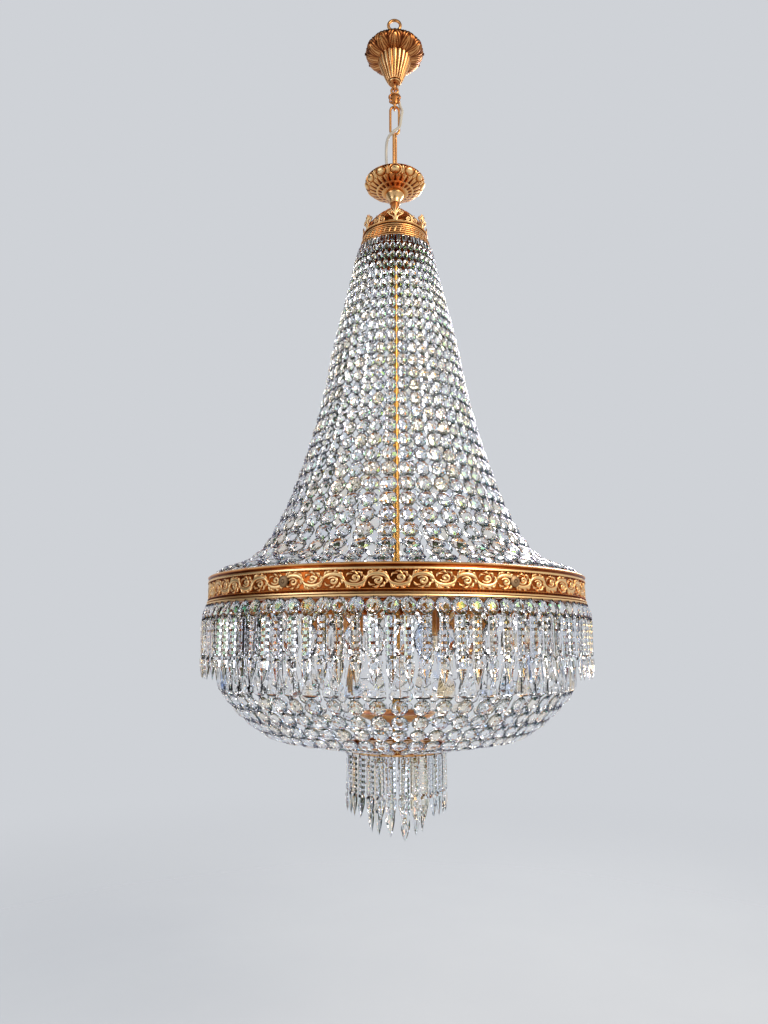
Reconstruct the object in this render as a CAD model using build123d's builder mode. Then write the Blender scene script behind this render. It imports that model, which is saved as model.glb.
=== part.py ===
from build123d import *
from math import atan2, cos, degrees, log, pi, radians, sin, tan
import os

# Crystal chandelier: a beaded tent over a gilt ring with a fringe of spear
# drops, a basket of strings below it and two tiers of spears underneath.
# Millimetres, +Z up. The origin is the centre of the hanging eye's hole, and
# every level below it is worked out from the one above it.

# ---------------------------------------------------------------- clearances
seat_gap = 0.25          # between a crystal and what it hangs from
running_gap = 0.1        # radial, a turned part on the centre tube or the stem
link_gap = 0.6           # between two chain links where they bear
pin_gap = 0.3            # radial, a pendant pin in its hole
bead_gap = 0.3           # between neighbouring crystals of one string

# ---------------------------------------------------------------- hanging stem
eye_hole_r = 8.0
eye_wall = 5.0
eye_thick = 6.0
stem_r = 3.0
block_width = 18.0
block_depth = 17.0
block_height = 19.0
block_top = 15.0         # below the eye centre
cable_r = 2.5
cable_offset = 6.2       # cable axis to stem axis
cable_turn = 33.0        # degrees about Z, where the cable passes the collar

# ---------------------------------------------------------------- canopy
canopy_drop = 112.0      # eye centre to the collar that carries the canopy
canopy_slide = 45.0      # how far the canopy lifts off its collar
collar_r = 11.0
collar_height = 4.5
shell_height = 54.0
shell_top_r = 35.0
shell_waist_r = 17.5
shell_foot_r = 12.5
shell_wall = 1.6
canopy_hole_r = 9.6
flute_count = 20
flute_depth = 1.4
rim_height = 46.0
rim_r = 50.5
rim_foot_r = 38.0
rim_lobes = 12
rim_lobe_depth = 1.0
knob_length = 4.0
# Turned and lobed forms below are rows of (share of the height, radius).
shell_form = [
    (0.0, shell_foot_r),
    (0.17, shell_waist_r),
    (0.33, shell_waist_r + 2.5),
    (0.6, shell_top_r - 4),
    (1.0, shell_top_r),
]
rim_drop = 0.52          # share of the rim that hangs below the shell's top
rim_widest = 0.64        # share of the rim's height at its widest, by the knobs
rim_form = [
    (0.0, rim_foot_r),
    (0.28, rim_foot_r + 6),
    (rim_widest, rim_r),
    (1.0, rim_r - 4.5),
]

# ---------------------------------------------------------------- chain
link_wire = 4.2
eye_wire = 4.0
loop_width = 14.4
loop_height = 14.4
leaf_length = 45.0
leaf_half_width = 10.5
leaf_eye_hole_r = 3.5
oval_width = 19.0
oval_upper_length = 57.0
oval_lower_width = 23.0
oval_lower_length = 75.5
oval_lower_turn = 78.0   # degrees about Z, from the upper oval's plane
top_loop_width = 17.0
top_loop_length = 26.0
chain_swing = 15.0       # degrees each way

# ---------------------------------------------------------------- head
tube_r = 6.0
cup_r = 51.0
cup_height = 24.0
cup_foot_r = 19.0
cup_wall = 3.0
cup_lobes = 12
cup_lobe_depth = 2.0
cup_rise = 2.0           # tube top below the cup's lip
cup_form = [(0.0, cup_foot_r), (0.3, cup_r - 13), (0.7, cup_r), (1.0, cup_r - 4)]
knob_r = 15.0
knob_height = 16.0
neck_r = 9.0
knob_form = [(0.0, neck_r), (0.3, knob_r), (0.7, knob_r), (1.0, cup_foot_r - 5)]
neck_height = 16.0
dome_height = 48.0
dome_top_r = 12.0
dome_r = 50.0
dome_wall = 2.0
dome_form = [
    (0.0, dome_r),
    (0.25, dome_r - 4),
    (0.62, dome_r - 18),
    (0.84, dome_top_r + 10),
    (1.0, dome_top_r),
]
crown_ring_height = 27.5
crown_ring_r = 58.5
crown_ring_wall = 3.0
crown_flange_r = 54.0
crown_flange_height = 3.0
palmette_height = 26.0
palmette_width = 26.0
scroll_height = 15.0
scroll_width = 22.0
crest_thick = 2.0
crest_pairs = 6

# ---------------------------------------------------------------- main ring
ring_r = 277.0
ring_height = 40.4
ring_wall = 4.0
ring_flange = 12.0       # inward reach of the upper flange
ring_foot_flange = 19.0  # inward reach of the lower flange
ring_lip = 2.0           # outward reach of the beads at both edges
ring_plate = 3.0         # height of the flanges
ring_sides = 44
tent_drop = 540.5        # crown ring to main ring
screw_r = 5.5
screw_head = 2.5
hub_r = 30.0
hub_height = 16.0
hub_form = [(0.0, hub_r * 0.5), (0.3, hub_r), (1.0, hub_r)]
arm_count = 6
arm_start_angle = -60.0
arm_width = 8.0
arm_depth = 9.0
arm_rise = 24.0
lamp_r = 130.0           # lamp circle
lamp_cup_r = 15.0
lamp_cup_height = 20.0
lamp_cup_form = [(0.0, lamp_cup_r), (0.3, lamp_cup_r), (1.0, lamp_cup_r * 0.4)]
lamp_gap = 1.2           # between a lamp cup and the arm above it
sleeve_r = 13.0
sleeve_height = 62.0
socket_r = 7.0
socket_depth = 22.0

# ---------------------------------------------------------------- tent
tent_string_count = 42
baguette_length = 15.0
tent_bead_first = 17.3   # pitch at the top of a string
tent_bead_last = 28.0    # pitch at its foot
tent_shape = [           # share of the drop, share of the spread
    (0.154, 0.0855),
    (0.3115, 0.1758),
    (0.463, 0.2447),
    (0.611, 0.335),
    (0.7568, 0.4537),
    (0.826, 0.525),
    (0.897, 0.615),
    (0.9495, 0.715),
    (0.981, 0.855),
]
bead_aspect = 0.84       # width over length of an octagon
bead_depth = 0.3         # depth over length of an octagon

# ---------------------------------------------------------------- fringe
fringe_count = 88
fringe_octagon = 20.5
fringe_lean = 5.0        # outward travel of an octagon from pin to foot
spear_bar = 50.0
spear_tip = 29.0
spear_width = 11.5
spear_shoulder = 12.8
spear_depth = 7.0

# ---------------------------------------------------------------- basket
basket_count = 60
basket_octagon = 30.0
basket_octagon_width = 21.0
basket_oval = 37.0
basket_oval_width = 20.0
prism_length = 49.0
prism_top_width = 9.0
prism_foot_width = 21.0
prism_depth = 8.0
basket_lean = 10.0       # inward travel from the ring to the prisms' feet
basket_rows = 4
basket_row_length = 24.0
basket_row_slope = 52.0  # degrees below level at the first lower row
basket_row_turn = 6.5    # degrees that each row is flatter than the last
under_count = 30
under_rows = 5

# ---------------------------------------------------------------- bottom
bottom_ring_r = 74.0
bottom_ring_height = 10.0
bottom_ring_wall = 7.0
basket_drop = 195.0      # main ring to bottom ring
spider_thick = 4.0
spider_bore_r = 13.0
inner_ring_r = 38.0
inner_ring_half = 4.0
spoke_width = 7.0
spoke_count = 6
dish_r = 58.0
dish_height = 13.0
dish_lift = 30.0         # dish foot above the bottom ring's top
dish_wall = 2.5
dish_form = [(0.0, dish_r * 0.3), (0.35, dish_r * 0.78), (1.0, dish_r)]
nut_r = 11.0
nut_height = 8.0
finial_height = 12.0
finial_form = [(0.0, 2.0), (0.4, 8.0), (0.75, 5.0), (1.0, tube_r + 1.5)]
outer_count = 28
outer_bar = 54.0
outer_width = 12.5
outer_circle_r = bottom_ring_r - 4
shoulder_share = 1.1     # width of a bottom spear's shoulder over its bar
inner_count = 12
inner_start = 15.0
inner_bar = 64.0
inner_octagon = 24.0
octagon_share = 0.7      # width over length of a hanging octagon
pendant_offset = 12.0    # the pendant hangs beside the tube's nut
pendant_hook = 22.0
pendant_octagon_size = 20.0
pendant_octagon_thick = 8.0
pendant_bar = 54.0
pendant_tip = 34.0
pendant_width = 14.0
pin_r = 1.2
hole_r = pin_r + pin_gap
clip_reach = 6.0

flat_count = 24          # flats on the turned metal
hole_flats = 12
lamp_flats = 8

# ---------------------------------------------------------------- levels
collar_top = -canopy_drop
collar_bottom = collar_top - collar_height
loop_bottom = collar_bottom - loop_height
leaf_top = loop_bottom + eye_wire + link_gap + eye_wire
pivot_leaf = leaf_top - eye_wire / 2
leaf_bottom = leaf_top - leaf_length
pivot_upper = leaf_bottom + eye_wire / 2
upper_top = pivot_upper + eye_wire / 2 + link_gap + link_wire
upper_bottom = upper_top - oval_upper_length
pivot_lower = upper_bottom + link_wire / 2
lower_top = pivot_lower + link_wire / 2 + link_gap + link_wire
lower_bottom = lower_top - oval_lower_length
pivot_head = lower_bottom + link_wire / 2
top_loop_top = pivot_head + link_wire / 2 + link_gap + link_wire
tube_top = top_loop_top - top_loop_length

cup_top = tube_top - cup_rise
cup_bottom = cup_top - cup_height
knob_bottom = cup_bottom - knob_height
dome_top = knob_bottom - neck_height
crown_top = dome_top - dome_height
crown_bottom = crown_top - crown_ring_height
ring_top = crown_bottom - tent_drop
ring_bottom = ring_top - ring_height
hub_top = ring_top - hub_height / 4
bottom_ring_top = ring_bottom - basket_drop
bottom_ring_bottom = bottom_ring_top - bottom_ring_height
spider_bottom = bottom_ring_top - spider_thick
dish_bottom = bottom_ring_top + dish_lift
tube_bottom = spider_bottom - nut_height / 2
bore_r = tube_r + running_gap
bore_corner_r = bore_r / cos(pi / hole_flats)


# ---------------------------------------------------------------- shared forms
def at(radius, level, turn=0.0):
    """A point at a radius from the axis, on a level."""
    return Vector(radius * cos(radians(turn)), radius * sin(radians(turn)), level)


def upright(turn):
    """The vertical plane through the axis that is turned about Z."""
    across = at(1, 0, turn)
    return Plane(origin=(0, 0, 0), x_dir=across, z_dir=across.cross(Vector(0, 0, 1)))


def stretched(bottom, height, form):
    """Levels and radii of a form, from its (share of height, radius) rows."""
    return [(bottom + share * height, radius) for share, radius in form]


def turned(levels, sides):
    """A turned form with a few flats, from (level, corner radius) pairs."""
    with BuildPart() as form:
        for level, radius in levels:
            with BuildSketch(Plane.XY.offset(level)):
                RegularPolygon(radius, sides, align=None)
        loft(ruled=True)
    return form.part


def lobed(levels, count, depth):
    """A lofted form whose section has lobes, from (level, radius) pairs."""
    step = pi / count
    with BuildPart() as form:
        for level, radius in levels:
            corners = [
                (
                    (radius - depth * (k % 2)) * cos(k * step),
                    (radius - depth * (k % 2)) * sin(k * step),
                )
                for k in range(2 * count)
            ]
            with BuildSketch(Plane.XY.offset(level)):
                Polygon(*corners, align=None)
        loft(ruled=True)
    return form.part


def bore(bottom, top):
    """The clear way for the centre tube."""
    return turned([(bottom, bore_corner_r), (top, bore_corner_r)], hole_flats)


def stadium(length, width, steps=6):
    """Corners of an upright oval whose top touches the origin."""
    radius = width / 2
    upper = [
        (radius * cos(pi * k / steps), radius * sin(pi * k / steps) - radius)
        for k in range(steps + 1)
    ]
    lower = [(-x, -y - length) for x, y in upper]
    return upper + lower


def oval_link(plane, top, length, width, wire):
    """A chain link of bent wire: a flat oval with its edges taken off."""
    with BuildPart() as link:
        with BuildSketch(plane.offset(0)) as outline:
            with Locations((0, top)):
                Polygon(*stadium(length, width), align=None)
            with Locations((0, top - wire)):
                Polygon(
                    *stadium(length - 2 * wire, width - 2 * wire),
                    align=None,
                    mode=Mode.SUBTRACT,
                )
        extrude(amount=wire / 2, both=True)
        normal = Axis((0, 0, 0), plane.z_dir)
        flat_faces = link.faces().filter_by(normal)
        chamfer(flat_faces.edges(), length=wire * 0.27)
    return link.part


def lozenge(start, finish, outward, width, depth):
    """A faceted crystal on a string: four facets from tip to tip."""
    crown = (start + finish) / 2 + outward * depth
    along = crown - start
    side = outward.cross(finish - start).normalized()
    with BuildPart() as stone:
        face = Plane(origin=start, x_dir=side, z_dir=side.cross(along.normalized()))
        with BuildSketch(face) as back:
            Polygon(
                (0, 0),
                (width / 2, along.length),
                (-width / 2, along.length),
                align=None,
            )
        loft(sections=[back.sketch.faces()[0], Vertex(*finish)])
    return stone.part


def spear(radius, top, bar, tip, width, shoulder):
    """A spear drop: a tapered bar of three facets, a shoulder and a tip."""
    inner = radius - spear_depth / 2
    with BuildPart() as drop:
        sections = []
        for level, breadth in ((top, width), (top - bar, shoulder)):
            with BuildSketch(Plane.XY.offset(level)) as section:
                Polygon(
                    (inner, breadth / 2),
                    (inner, -breadth / 2),
                    (inner + spear_depth * breadth / width, 0),
                    align=None,
                )
            sections.append(section.sketch.faces()[0])
        point = Vertex(radius, 0, top - bar - tip)
        loft(sections=sections + [point], ruled=True)
    return drop.part


# ---------------------------------------------------------------- hanging eye
with BuildPart() as hanging_eye:
    with BuildSketch(Plane.XZ):
        Circle(eye_hole_r + eye_wall)
        Circle(eye_hole_r, mode=Mode.SUBTRACT)
    extrude(amount=eye_thick / 2, both=True)
    with BuildSketch(Plane.XY.offset(collar_bottom)):
        Circle(stem_r)
    extrude(amount=-collar_bottom - eye_hole_r - eye_wall / 2)
hanging_eye.part.label = "hanging_eye"

with BuildPart() as terminal_block:
    with BuildSketch(Plane.XY.offset(-block_top)):
        Rectangle(block_width, block_depth)
        Circle(stem_r + running_gap / 2, mode=Mode.SUBTRACT)
    extrude(amount=-block_height)
terminal_block.part.label = "terminal_block"

with BuildPart() as canopy_collar:
    with BuildSketch(Plane.XY.offset(collar_bottom)):
        Circle(collar_r)
        Circle(stem_r + running_gap / 2, mode=Mode.SUBTRACT)
        with Locations(at(cable_offset, 0, cable_turn)):
            Circle(cable_r + running_gap, mode=Mode.SUBTRACT)
    extrude(amount=collar_height)
canopy_collar.part.label = "canopy_collar"

with BuildPart() as stem_loop:
    add(oval_link(Plane.YZ, collar_bottom, loop_height, loop_width, eye_wire))
stem_loop.part.label = "stem_loop"

# ---------------------------------------------------------------- canopy
shell_bottom = collar_top
shell_top = shell_bottom + shell_height
shell_levels = stretched(shell_bottom, shell_height, shell_form)
with BuildPart() as canopy_shell:
    add(lobed(shell_levels, flute_count, flute_depth))
    inner_levels = [
        (level, max(radius - flute_depth - shell_wall, canopy_hole_r))
        for level, radius in shell_levels
    ]
    add(turned(inner_levels, flute_count), mode=Mode.SUBTRACT)
canopy_shell.part.label = "canopy_shell"

rim_bottom = shell_top - rim_height * rim_drop
rim_top = rim_bottom + rim_height
rim_bore_r = (shell_top_r + seat_gap) / cos(pi / flat_count)
with BuildPart() as canopy_leaf_rim:
    add(lobed(stretched(rim_bottom, rim_height, rim_form), rim_lobes, rim_lobe_depth))
    bore_levels = [
        (rim_bottom, shell_top_r - 1.5),
        (shell_top, rim_bore_r),
        (rim_top, rim_r - 9),
    ]
    add(turned(bore_levels, flat_count), mode=Mode.SUBTRACT)
canopy_leaf_rim.part.label = "canopy_leaf_rim"

knob_level = rim_bottom + rim_height * rim_widest
knob_point = Vertex(rim_r + knob_length / 3, 0, knob_level)
with BuildPart() as rim_knob:
    with BuildSketch(Plane.YZ.offset(rim_r)) as knob_base:
        with Locations((0, knob_level)):
            RegularPolygon(knob_length / 2, 4)
    loft(sections=[knob_base.sketch.faces()[0], knob_point])
with BuildPart() as canopy_knobs:
    with PolarLocations(0, rim_lobes):
        add(rim_knob.part)
canopy_knobs.part.label = "canopy_knobs"

# ---------------------------------------------------------------- chain links
leaf_eye_size = 2 * (leaf_eye_hole_r + eye_wire)
lower_eye_top = leaf_bottom + leaf_eye_size
leaf_half = [             # half width share, share of the cast leaf's height
    (0.4, 0.0),
    (0.55, 0.16),
    (1.0, 0.42),
    (0.66, 0.6),
    (0.9, 0.8),
    (0.3, 1.0),
]
leaf_start = leaf_top - leaf_eye_size + eye_wire / 2
leaf_end = lower_eye_top - eye_wire / 2
with BuildPart() as leaf_link:
    with BuildSketch(Plane.XZ):
        right = [
            (share * leaf_half_width, leaf_start + fall * (leaf_end - leaf_start))
            for share, fall in leaf_half
        ]
        left = [(-x, z) for x, z in reversed(right)]
        Polygon(*(right + left), align=None)
    extrude(amount=eye_wire / 2, both=True)
    add(oval_link(upright(0), leaf_top, leaf_eye_size, leaf_eye_size, eye_wire))
    add(oval_link(Plane.YZ, lower_eye_top, leaf_eye_size, leaf_eye_size, eye_wire))
leaf_link.part.label = "leaf_link"

with BuildPart() as oval_link_upper:
    add(oval_link(upright(0), upper_top, oval_upper_length, oval_width, link_wire))
oval_link_upper.part.label = "oval_link_upper"

with BuildPart() as oval_link_lower:
    lower_plane = upright(oval_lower_turn)
    add(oval_link(lower_plane, lower_top, oval_lower_length, oval_lower_width, link_wire))
oval_link_lower.part.label = "oval_link_lower"

with BuildPart() as top_loop:
    loop_plane = upright(oval_lower_turn + 90)
    add(oval_link(loop_plane, top_loop_top, top_loop_length, top_loop_width, link_wire))
top_loop.part.label = "top_loop"

# ---------------------------------------------------------------- supply cable
cable_start = at(cable_offset, 0, cable_turn)
cup_floor = cup_bottom + cup_wall
cable_route = [
    Vector(cable_start.X, cable_start.Y, -block_top - block_height),
    Vector(cable_start.X, cable_start.Y, collar_bottom - 2),
    Vector(5.6, 6.4, loop_bottom - 3),
    Vector(6.6, 6.2, leaf_bottom + 10),
    Vector(7.0, 5.8, upper_top - 18),
    Vector(9.6, 6.2, upper_bottom + 16),
    Vector(13.8, -1.0, upper_bottom + 6),
    Vector(10.0, -12.0, upper_bottom - 1),
    Vector(-1.0, -16.6, upper_bottom - 5),
    Vector(-13.0, -11.5, upper_bottom - 14),
    Vector(-15.0, -1.0, upper_bottom - 30),
    Vector(-13.8, 3.0, lower_bottom + 6),
    Vector(-13.0, 3.0, cup_floor + seat_gap),
]
cable_breaks = [1, 3, 5, 10]  # a span ends half way along the run after these


def corner_radius(before, corner, after):
    """An arc as large as the two runs beside a corner allow."""
    first = corner - before
    second = after - corner
    turn = first.get_angle(second)
    return 0.45 * min(first.length, second.length) / tan(radians(turn / 2))


cable_radii = [
    corner_radius(*cable_route[k - 1:k + 2]) for k in range(1, len(cable_route) - 1)
]
print("cable radii", [round(radius, 1) for radius in cable_radii])
cable_names = ["cable_stem", "cable_leaf", "cable_upper", "cable_lower", "cable_inlet"]
cable_parts = []
span_first = 0
span_start = cable_route[0]
for name, last in zip(cable_names, cable_breaks + [len(cable_route) - 1]):
    if last == len(cable_route) - 1:
        span_end = cable_route[-1]
        corners = cable_route[span_first + 1:last]
        radii = cable_radii[span_first:last - 1]
    else:
        span_end = (cable_route[last] + cable_route[last + 1]) / 2
        corners = cable_route[span_first + 1:last + 1]
        radii = cable_radii[span_first:last]
    with BuildPart() as span:
        with BuildLine() as route:
            if corners:
                FilletPolyline(span_start, *corners, span_end, radius=radii)
            else:
                Line(span_start, span_end)
        with BuildSketch(Plane(origin=route.line @ 0, z_dir=route.line % 0)):
            RegularPolygon(cable_r, 6)
        sweep(path=route.wires()[0])
    span.part.label = name
    cable_parts.append(span.part)
    span_start = span_end
    span_first = last

# ---------------------------------------------------------------- head
with BuildPart() as centre_tube:
    with BuildSketch(Plane.XY.offset(tube_bottom)):
        Circle(tube_r)
    extrude(amount=tube_top - tube_bottom)
centre_tube.part.label = "centre_tube"

with BuildPart() as gallery_cup:
    add(lobed(stretched(cup_bottom, cup_height, cup_form), cup_lobes, cup_lobe_depth))
    hollow_levels = [
        (cup_floor, cup_foot_r),
        (cup_floor + cup_height * 0.3, cup_r - cup_lobe_depth - 11),
        (cup_top - cup_height * 0.3, cup_r - cup_lobe_depth - cup_wall),
        (cup_top, cup_r - cup_lobe_depth - cup_wall - 3),
    ]
    add(turned(hollow_levels, flat_count), mode=Mode.SUBTRACT)
    add(bore(cup_bottom, cup_floor), mode=Mode.SUBTRACT)
gallery_cup.part.label = "gallery_cup"

with BuildPart() as neck_knob:
    add(turned(stretched(knob_bottom, knob_height, knob_form), flat_count))
    add(bore(knob_bottom, cup_bottom), mode=Mode.SUBTRACT)
neck_knob.part.label = "neck_knob"

with BuildPart() as neck_sleeve:
    add(turned([(dome_top, neck_r), (knob_bottom, neck_r)], hole_flats))
    add(bore(dome_top, knob_bottom), mode=Mode.SUBTRACT)
neck_sleeve.part.label = "neck_sleeve"

with BuildPart() as crown_dome:
    dome_levels = stretched(crown_top, dome_height, dome_form)
    add(turned(dome_levels, flat_count))
    vault_levels = [
        (level, radius - dome_wall) for level, radius in dome_levels[:-1]
    ]
    vault_levels[-1] = (vault_levels[-1][0] - dome_wall, vault_levels[-1][1])
    add(turned(vault_levels, flat_count), mode=Mode.SUBTRACT)
    add(bore(crown_top, dome_top), mode=Mode.SUBTRACT)
crown_dome.part.label = "crown_dome"

crown_inner_r = dome_r - dome_wall - 2
with BuildPart() as crown_ring:
    band_levels = [
        (crown_bottom, crown_ring_r),
        (crown_top - crown_flange_height, dome_r + 1),
    ]
    add(turned(band_levels, tent_string_count))
    flange = [(crown_top - crown_flange_height, crown_flange_r), (crown_top, crown_flange_r)]
    add(turned(flange, tent_string_count))
    band_bore = [
        (crown_bottom, crown_ring_r - crown_ring_wall),
        (crown_top - crown_flange_height, crown_inner_r),
        (crown_top, crown_inner_r),
    ]
    add(turned(band_bore, tent_string_count), mode=Mode.SUBTRACT)
crown_ring.part.label = "crown_ring"


def crest(radius, level, height, width):
    """One upright leaf of the crest, seen from outside the crown."""
    half = width / 2
    outline = [
        (half, 0.0),
        (half * 0.94, height * 0.3),
        (half * 0.5, height * 0.42),
        (half * 0.62, height * 0.72),
        (0.0, height),
    ]
    mirrored = [(-x, y) for x, y in reversed(outline[:-1])]
    with BuildPart() as leaf:
        with BuildSketch(Plane(origin=(radius, 0, level), x_dir=(0, 1, 0), z_dir=(1, 0, 0))):
            Polygon(*(outline + mirrored), align=None)
        extrude(amount=crest_thick)
    return leaf.part


crest_r = crown_flange_r * cos(pi / tent_string_count) - crest_thick - 0.6
with BuildPart() as crown_palmettes:
    with PolarLocations(0, crest_pairs, start_angle=-90):
        add(crest(crest_r, crown_top, palmette_height, palmette_width))
crown_palmettes.part.label = "crown_palmettes"

with BuildPart() as crown_scrolls:
    with PolarLocations(0, crest_pairs, start_angle=-90 + 180 / crest_pairs):
        add(crest(crest_r, crown_top, scroll_height, scroll_width))
crown_scrolls.part.label = "crown_scrolls"

# ---------------------------------------------------------------- main ring
ring_inner_r = ring_r - ring_wall
with BuildPart() as main_ring:
    ring_levels = [
        (ring_bottom, ring_r + ring_lip),
        (ring_bottom + ring_plate, ring_r + ring_lip),
        (ring_bottom + 3 * ring_plate, ring_r),
        (ring_top - 2 * ring_plate, ring_r - 1),
        (ring_top, ring_r),
    ]
    add(turned(ring_levels, ring_sides))
    channel = [(ring_bottom + ring_plate, ring_inner_r), (ring_top - ring_plate, ring_inner_r)]
    add(turned(channel, ring_sides), mode=Mode.SUBTRACT)
    upper_hole = [(ring_top - ring_plate, ring_r - ring_flange), (ring_top, ring_r - ring_flange)]
    add(turned(upper_hole, ring_sides), mode=Mode.SUBTRACT)
    lower_hole = [
        (ring_bottom, ring_r - ring_foot_flange),
        (ring_bottom + ring_plate, ring_r - ring_foot_flange),
    ]
    add(turned(lower_hole, ring_sides), mode=Mode.SUBTRACT)
main_ring.part.label = "main_ring"

screw_level = (ring_top + ring_bottom) / 2
with BuildPart() as ring_screw:
    with BuildSketch(Plane.YZ.offset(ring_r)) as screw_foot:
        with Locations((0, screw_level)):
            RegularPolygon(screw_r, 8)
    with BuildSketch(Plane.YZ.offset(ring_r + screw_head)) as screw_face:
        with Locations((0, screw_level)):
            RegularPolygon(screw_r * 0.55, 8)
    loft(sections=[screw_foot.sketch.faces()[0], screw_face.sketch.faces()[0]], ruled=True)
with BuildPart() as ring_screws:
    with PolarLocations(0, arm_count, start_angle=arm_start_angle):
        add(ring_screw.part)
ring_screws.part.label = "ring_screws"

with BuildPart() as arms_hub:
    add(turned(stretched(hub_top - hub_height, hub_height, hub_form), flat_count))
    add(bore(hub_top - hub_height, hub_top), mode=Mode.SUBTRACT)
arms_hub.part.label = "arms_hub"

arm_start = Vector(hub_r + running_gap / 2, hub_top - hub_height * 0.45)
arm_finish = Vector(ring_inner_r * cos(pi / ring_sides) - seat_gap, screw_level + arm_depth / 2)
arm_crown = Vector((arm_start.X + arm_finish.X) * 0.47, arm_start.Y + arm_rise)
down = Vector(0, -arm_depth)
with BuildPart() as arched_arm:
    with BuildSketch(Plane.XZ):
        with BuildLine():
            ThreePointArc(arm_start, arm_crown, arm_finish)
            Line(arm_finish, arm_finish + down)
            ThreePointArc(arm_finish + down, arm_crown + down, arm_start + down)
            Line(arm_start + down, arm_start)
        make_face()
    extrude(amount=arm_width / 2, both=True)
with BuildPart() as arched_arms:
    with PolarLocations(0, arm_count, start_angle=arm_start_angle):
        add(arched_arm.part)
arched_arms.part.label = "arched_arms"


def arc_level(radius):
    """Level of an arm's underside at a radius, from its three points."""
    chord = arm_finish - arm_start
    share = (radius - arm_start.X) / chord.X
    straight = arm_start.Y + share * chord.Y
    crown_share = (arm_crown.X - arm_start.X) / chord.X
    bow = arm_crown.Y - (arm_start.Y + crown_share * chord.Y)
    span = chord.length
    circle_r = (crown_share * (1 - crown_share) * span ** 2 + bow ** 2) / (2 * bow)
    off = (share - 0.5) * span
    rise = (circle_r ** 2 - off ** 2) ** 0.5 - (circle_r ** 2 - span ** 2 / 4) ** 0.5
    return straight + rise - arm_depth


lamp_top = arc_level(lamp_r - lamp_cup_r * 0.4) - lamp_gap
lamp_cup_bottom = lamp_top - lamp_cup_height
with BuildPart() as lamp_cups:
    with PolarLocations(lamp_r, arm_count, start_angle=arm_start_angle):
        add(turned(stretched(lamp_cup_bottom, lamp_cup_height, lamp_cup_form), lamp_flats))
lamp_cups.part.label = "lamp_cups"

sleeve_bottom = lamp_cup_bottom - sleeve_height
with BuildPart() as lamp_sleeves:
    with PolarLocations(lamp_r, arm_count, start_angle=arm_start_angle):
        add(turned([(sleeve_bottom, sleeve_r), (lamp_cup_bottom, sleeve_r)], lamp_flats))
    with Locations(Location((0, 0, sleeve_bottom + socket_depth / 2))):
        with PolarLocations(lamp_r, arm_count, start_angle=arm_start_angle):
            Cylinder(socket_r, socket_depth, mode=Mode.SUBTRACT)
lamp_sleeves.part.label = "lamp_sleeves"

# ---------------------------------------------------------------- tent
tent_top_r = crown_ring_r - crown_ring_wall / 2
tent_foot_r = ring_r - ring_flange + 3
tent_start = Vector(tent_top_r, 0, crown_bottom - seat_gap)
tent_finish = Vector(tent_foot_r, 0, ring_top + seat_gap)
tent_points = [tent_start]
for drop, spread in tent_shape:
    radius = tent_start.X + spread * (tent_finish.X - tent_start.X)
    tent_points.append(Vector(radius, 0, tent_start.Z + drop * (tent_finish.Z - tent_start.Z)))
tent_points.append(tent_finish)
with BuildLine() as tent_line:
    Spline(*tent_points)
tent_edge = tent_line.edge()

bead_share = log(tent_bead_last / tent_bead_first)
octagon_run = tent_edge.length - baguette_length
growth = (tent_bead_last - tent_bead_first) / octagon_run
tent_rows = round(bead_share / growth)


def tent_place(row):
    """Distance down a string to the top of a row, from the graded pitch."""
    grown = (tent_bead_last / tent_bead_first) ** (row / tent_rows)
    return baguette_length + octagon_run * (grown - 1) / (tent_bead_last / tent_bead_first - 1)


def string_bead(edge, start, finish, width, depth):
    """A bead laid along an edge between two distances."""
    upper = edge.position_at((start + bead_gap / 2) / edge.length)
    lower = edge.position_at((finish - bead_gap / 2) / edge.length)
    outward = Vector(0, 1, 0).cross(lower - upper).normalized()
    if outward.X < 0:
        outward = outward * -1
    return lozenge(upper, lower, outward, width, depth)


with BuildPart() as tent_baguettes:
    with PolarLocations(0, tent_string_count):
        add(string_bead(tent_edge, -bead_gap / 2, baguette_length, 6.0, 4.0))
tent_baguettes.part.label = "tent_baguettes"

with BuildPart() as tent_string:
    for row in range(tent_rows):
        upper = tent_place(row)
        lower = tent_place(row + 1)
        size = lower - upper
        radius = tent_edge.position_at((upper + lower) / 2 / tent_edge.length).X
        room = 2 * radius * sin(pi / tent_string_count) - bead_gap
        width = min(size * bead_aspect, room)
        add(string_bead(tent_edge, upper, lower, width, size * bead_depth))
with BuildPart() as tent_strings:
    with PolarLocations(0, tent_string_count):
        add(tent_string.part)
tent_strings.part.label = "tent_strings"

# ---------------------------------------------------------------- fringe
fringe_turn = 180 / fringe_count
fringe_start = Vector(ring_r * cos(pi / ring_sides), 0, ring_bottom - seat_gap)
fringe_foot = fringe_start + Vector(fringe_lean, 0, -fringe_octagon)
with BuildPart() as fringe_octagons:
    with PolarLocations(0, fringe_count, start_angle=fringe_turn):
        drop_out = Vector(fringe_octagon, 0, fringe_lean).normalized()
        add(lozenge(fringe_start, fringe_foot, drop_out, fringe_octagon * 0.88, spear_depth * 0.7))
fringe_octagons.part.label = "fringe_octagons"

spear_top = fringe_foot.Z - bead_gap
with BuildPart() as fringe_spears:
    with PolarLocations(0, fringe_count, start_angle=fringe_turn):
        add(spear(fringe_foot.X, spear_top, spear_bar, spear_tip, spear_width, spear_shoulder))
fringe_spears.part.label = "fringe_spears"

# ---------------------------------------------------------------- basket
basket_start = Vector(ring_r - ring_foot_flange + 3.5, 0, ring_bottom - seat_gap)
upper_run = basket_octagon + basket_oval + prism_length
lean_angle = atan2(basket_lean, upper_run)
fall = Vector(-sin(lean_angle), 0, -cos(lean_angle))
out = Vector(cos(lean_angle), 0, -sin(lean_angle))
oval_start = basket_start + fall * basket_octagon
prism_start = oval_start + fall * basket_oval
prism_finish = prism_start + fall * prism_length

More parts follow.
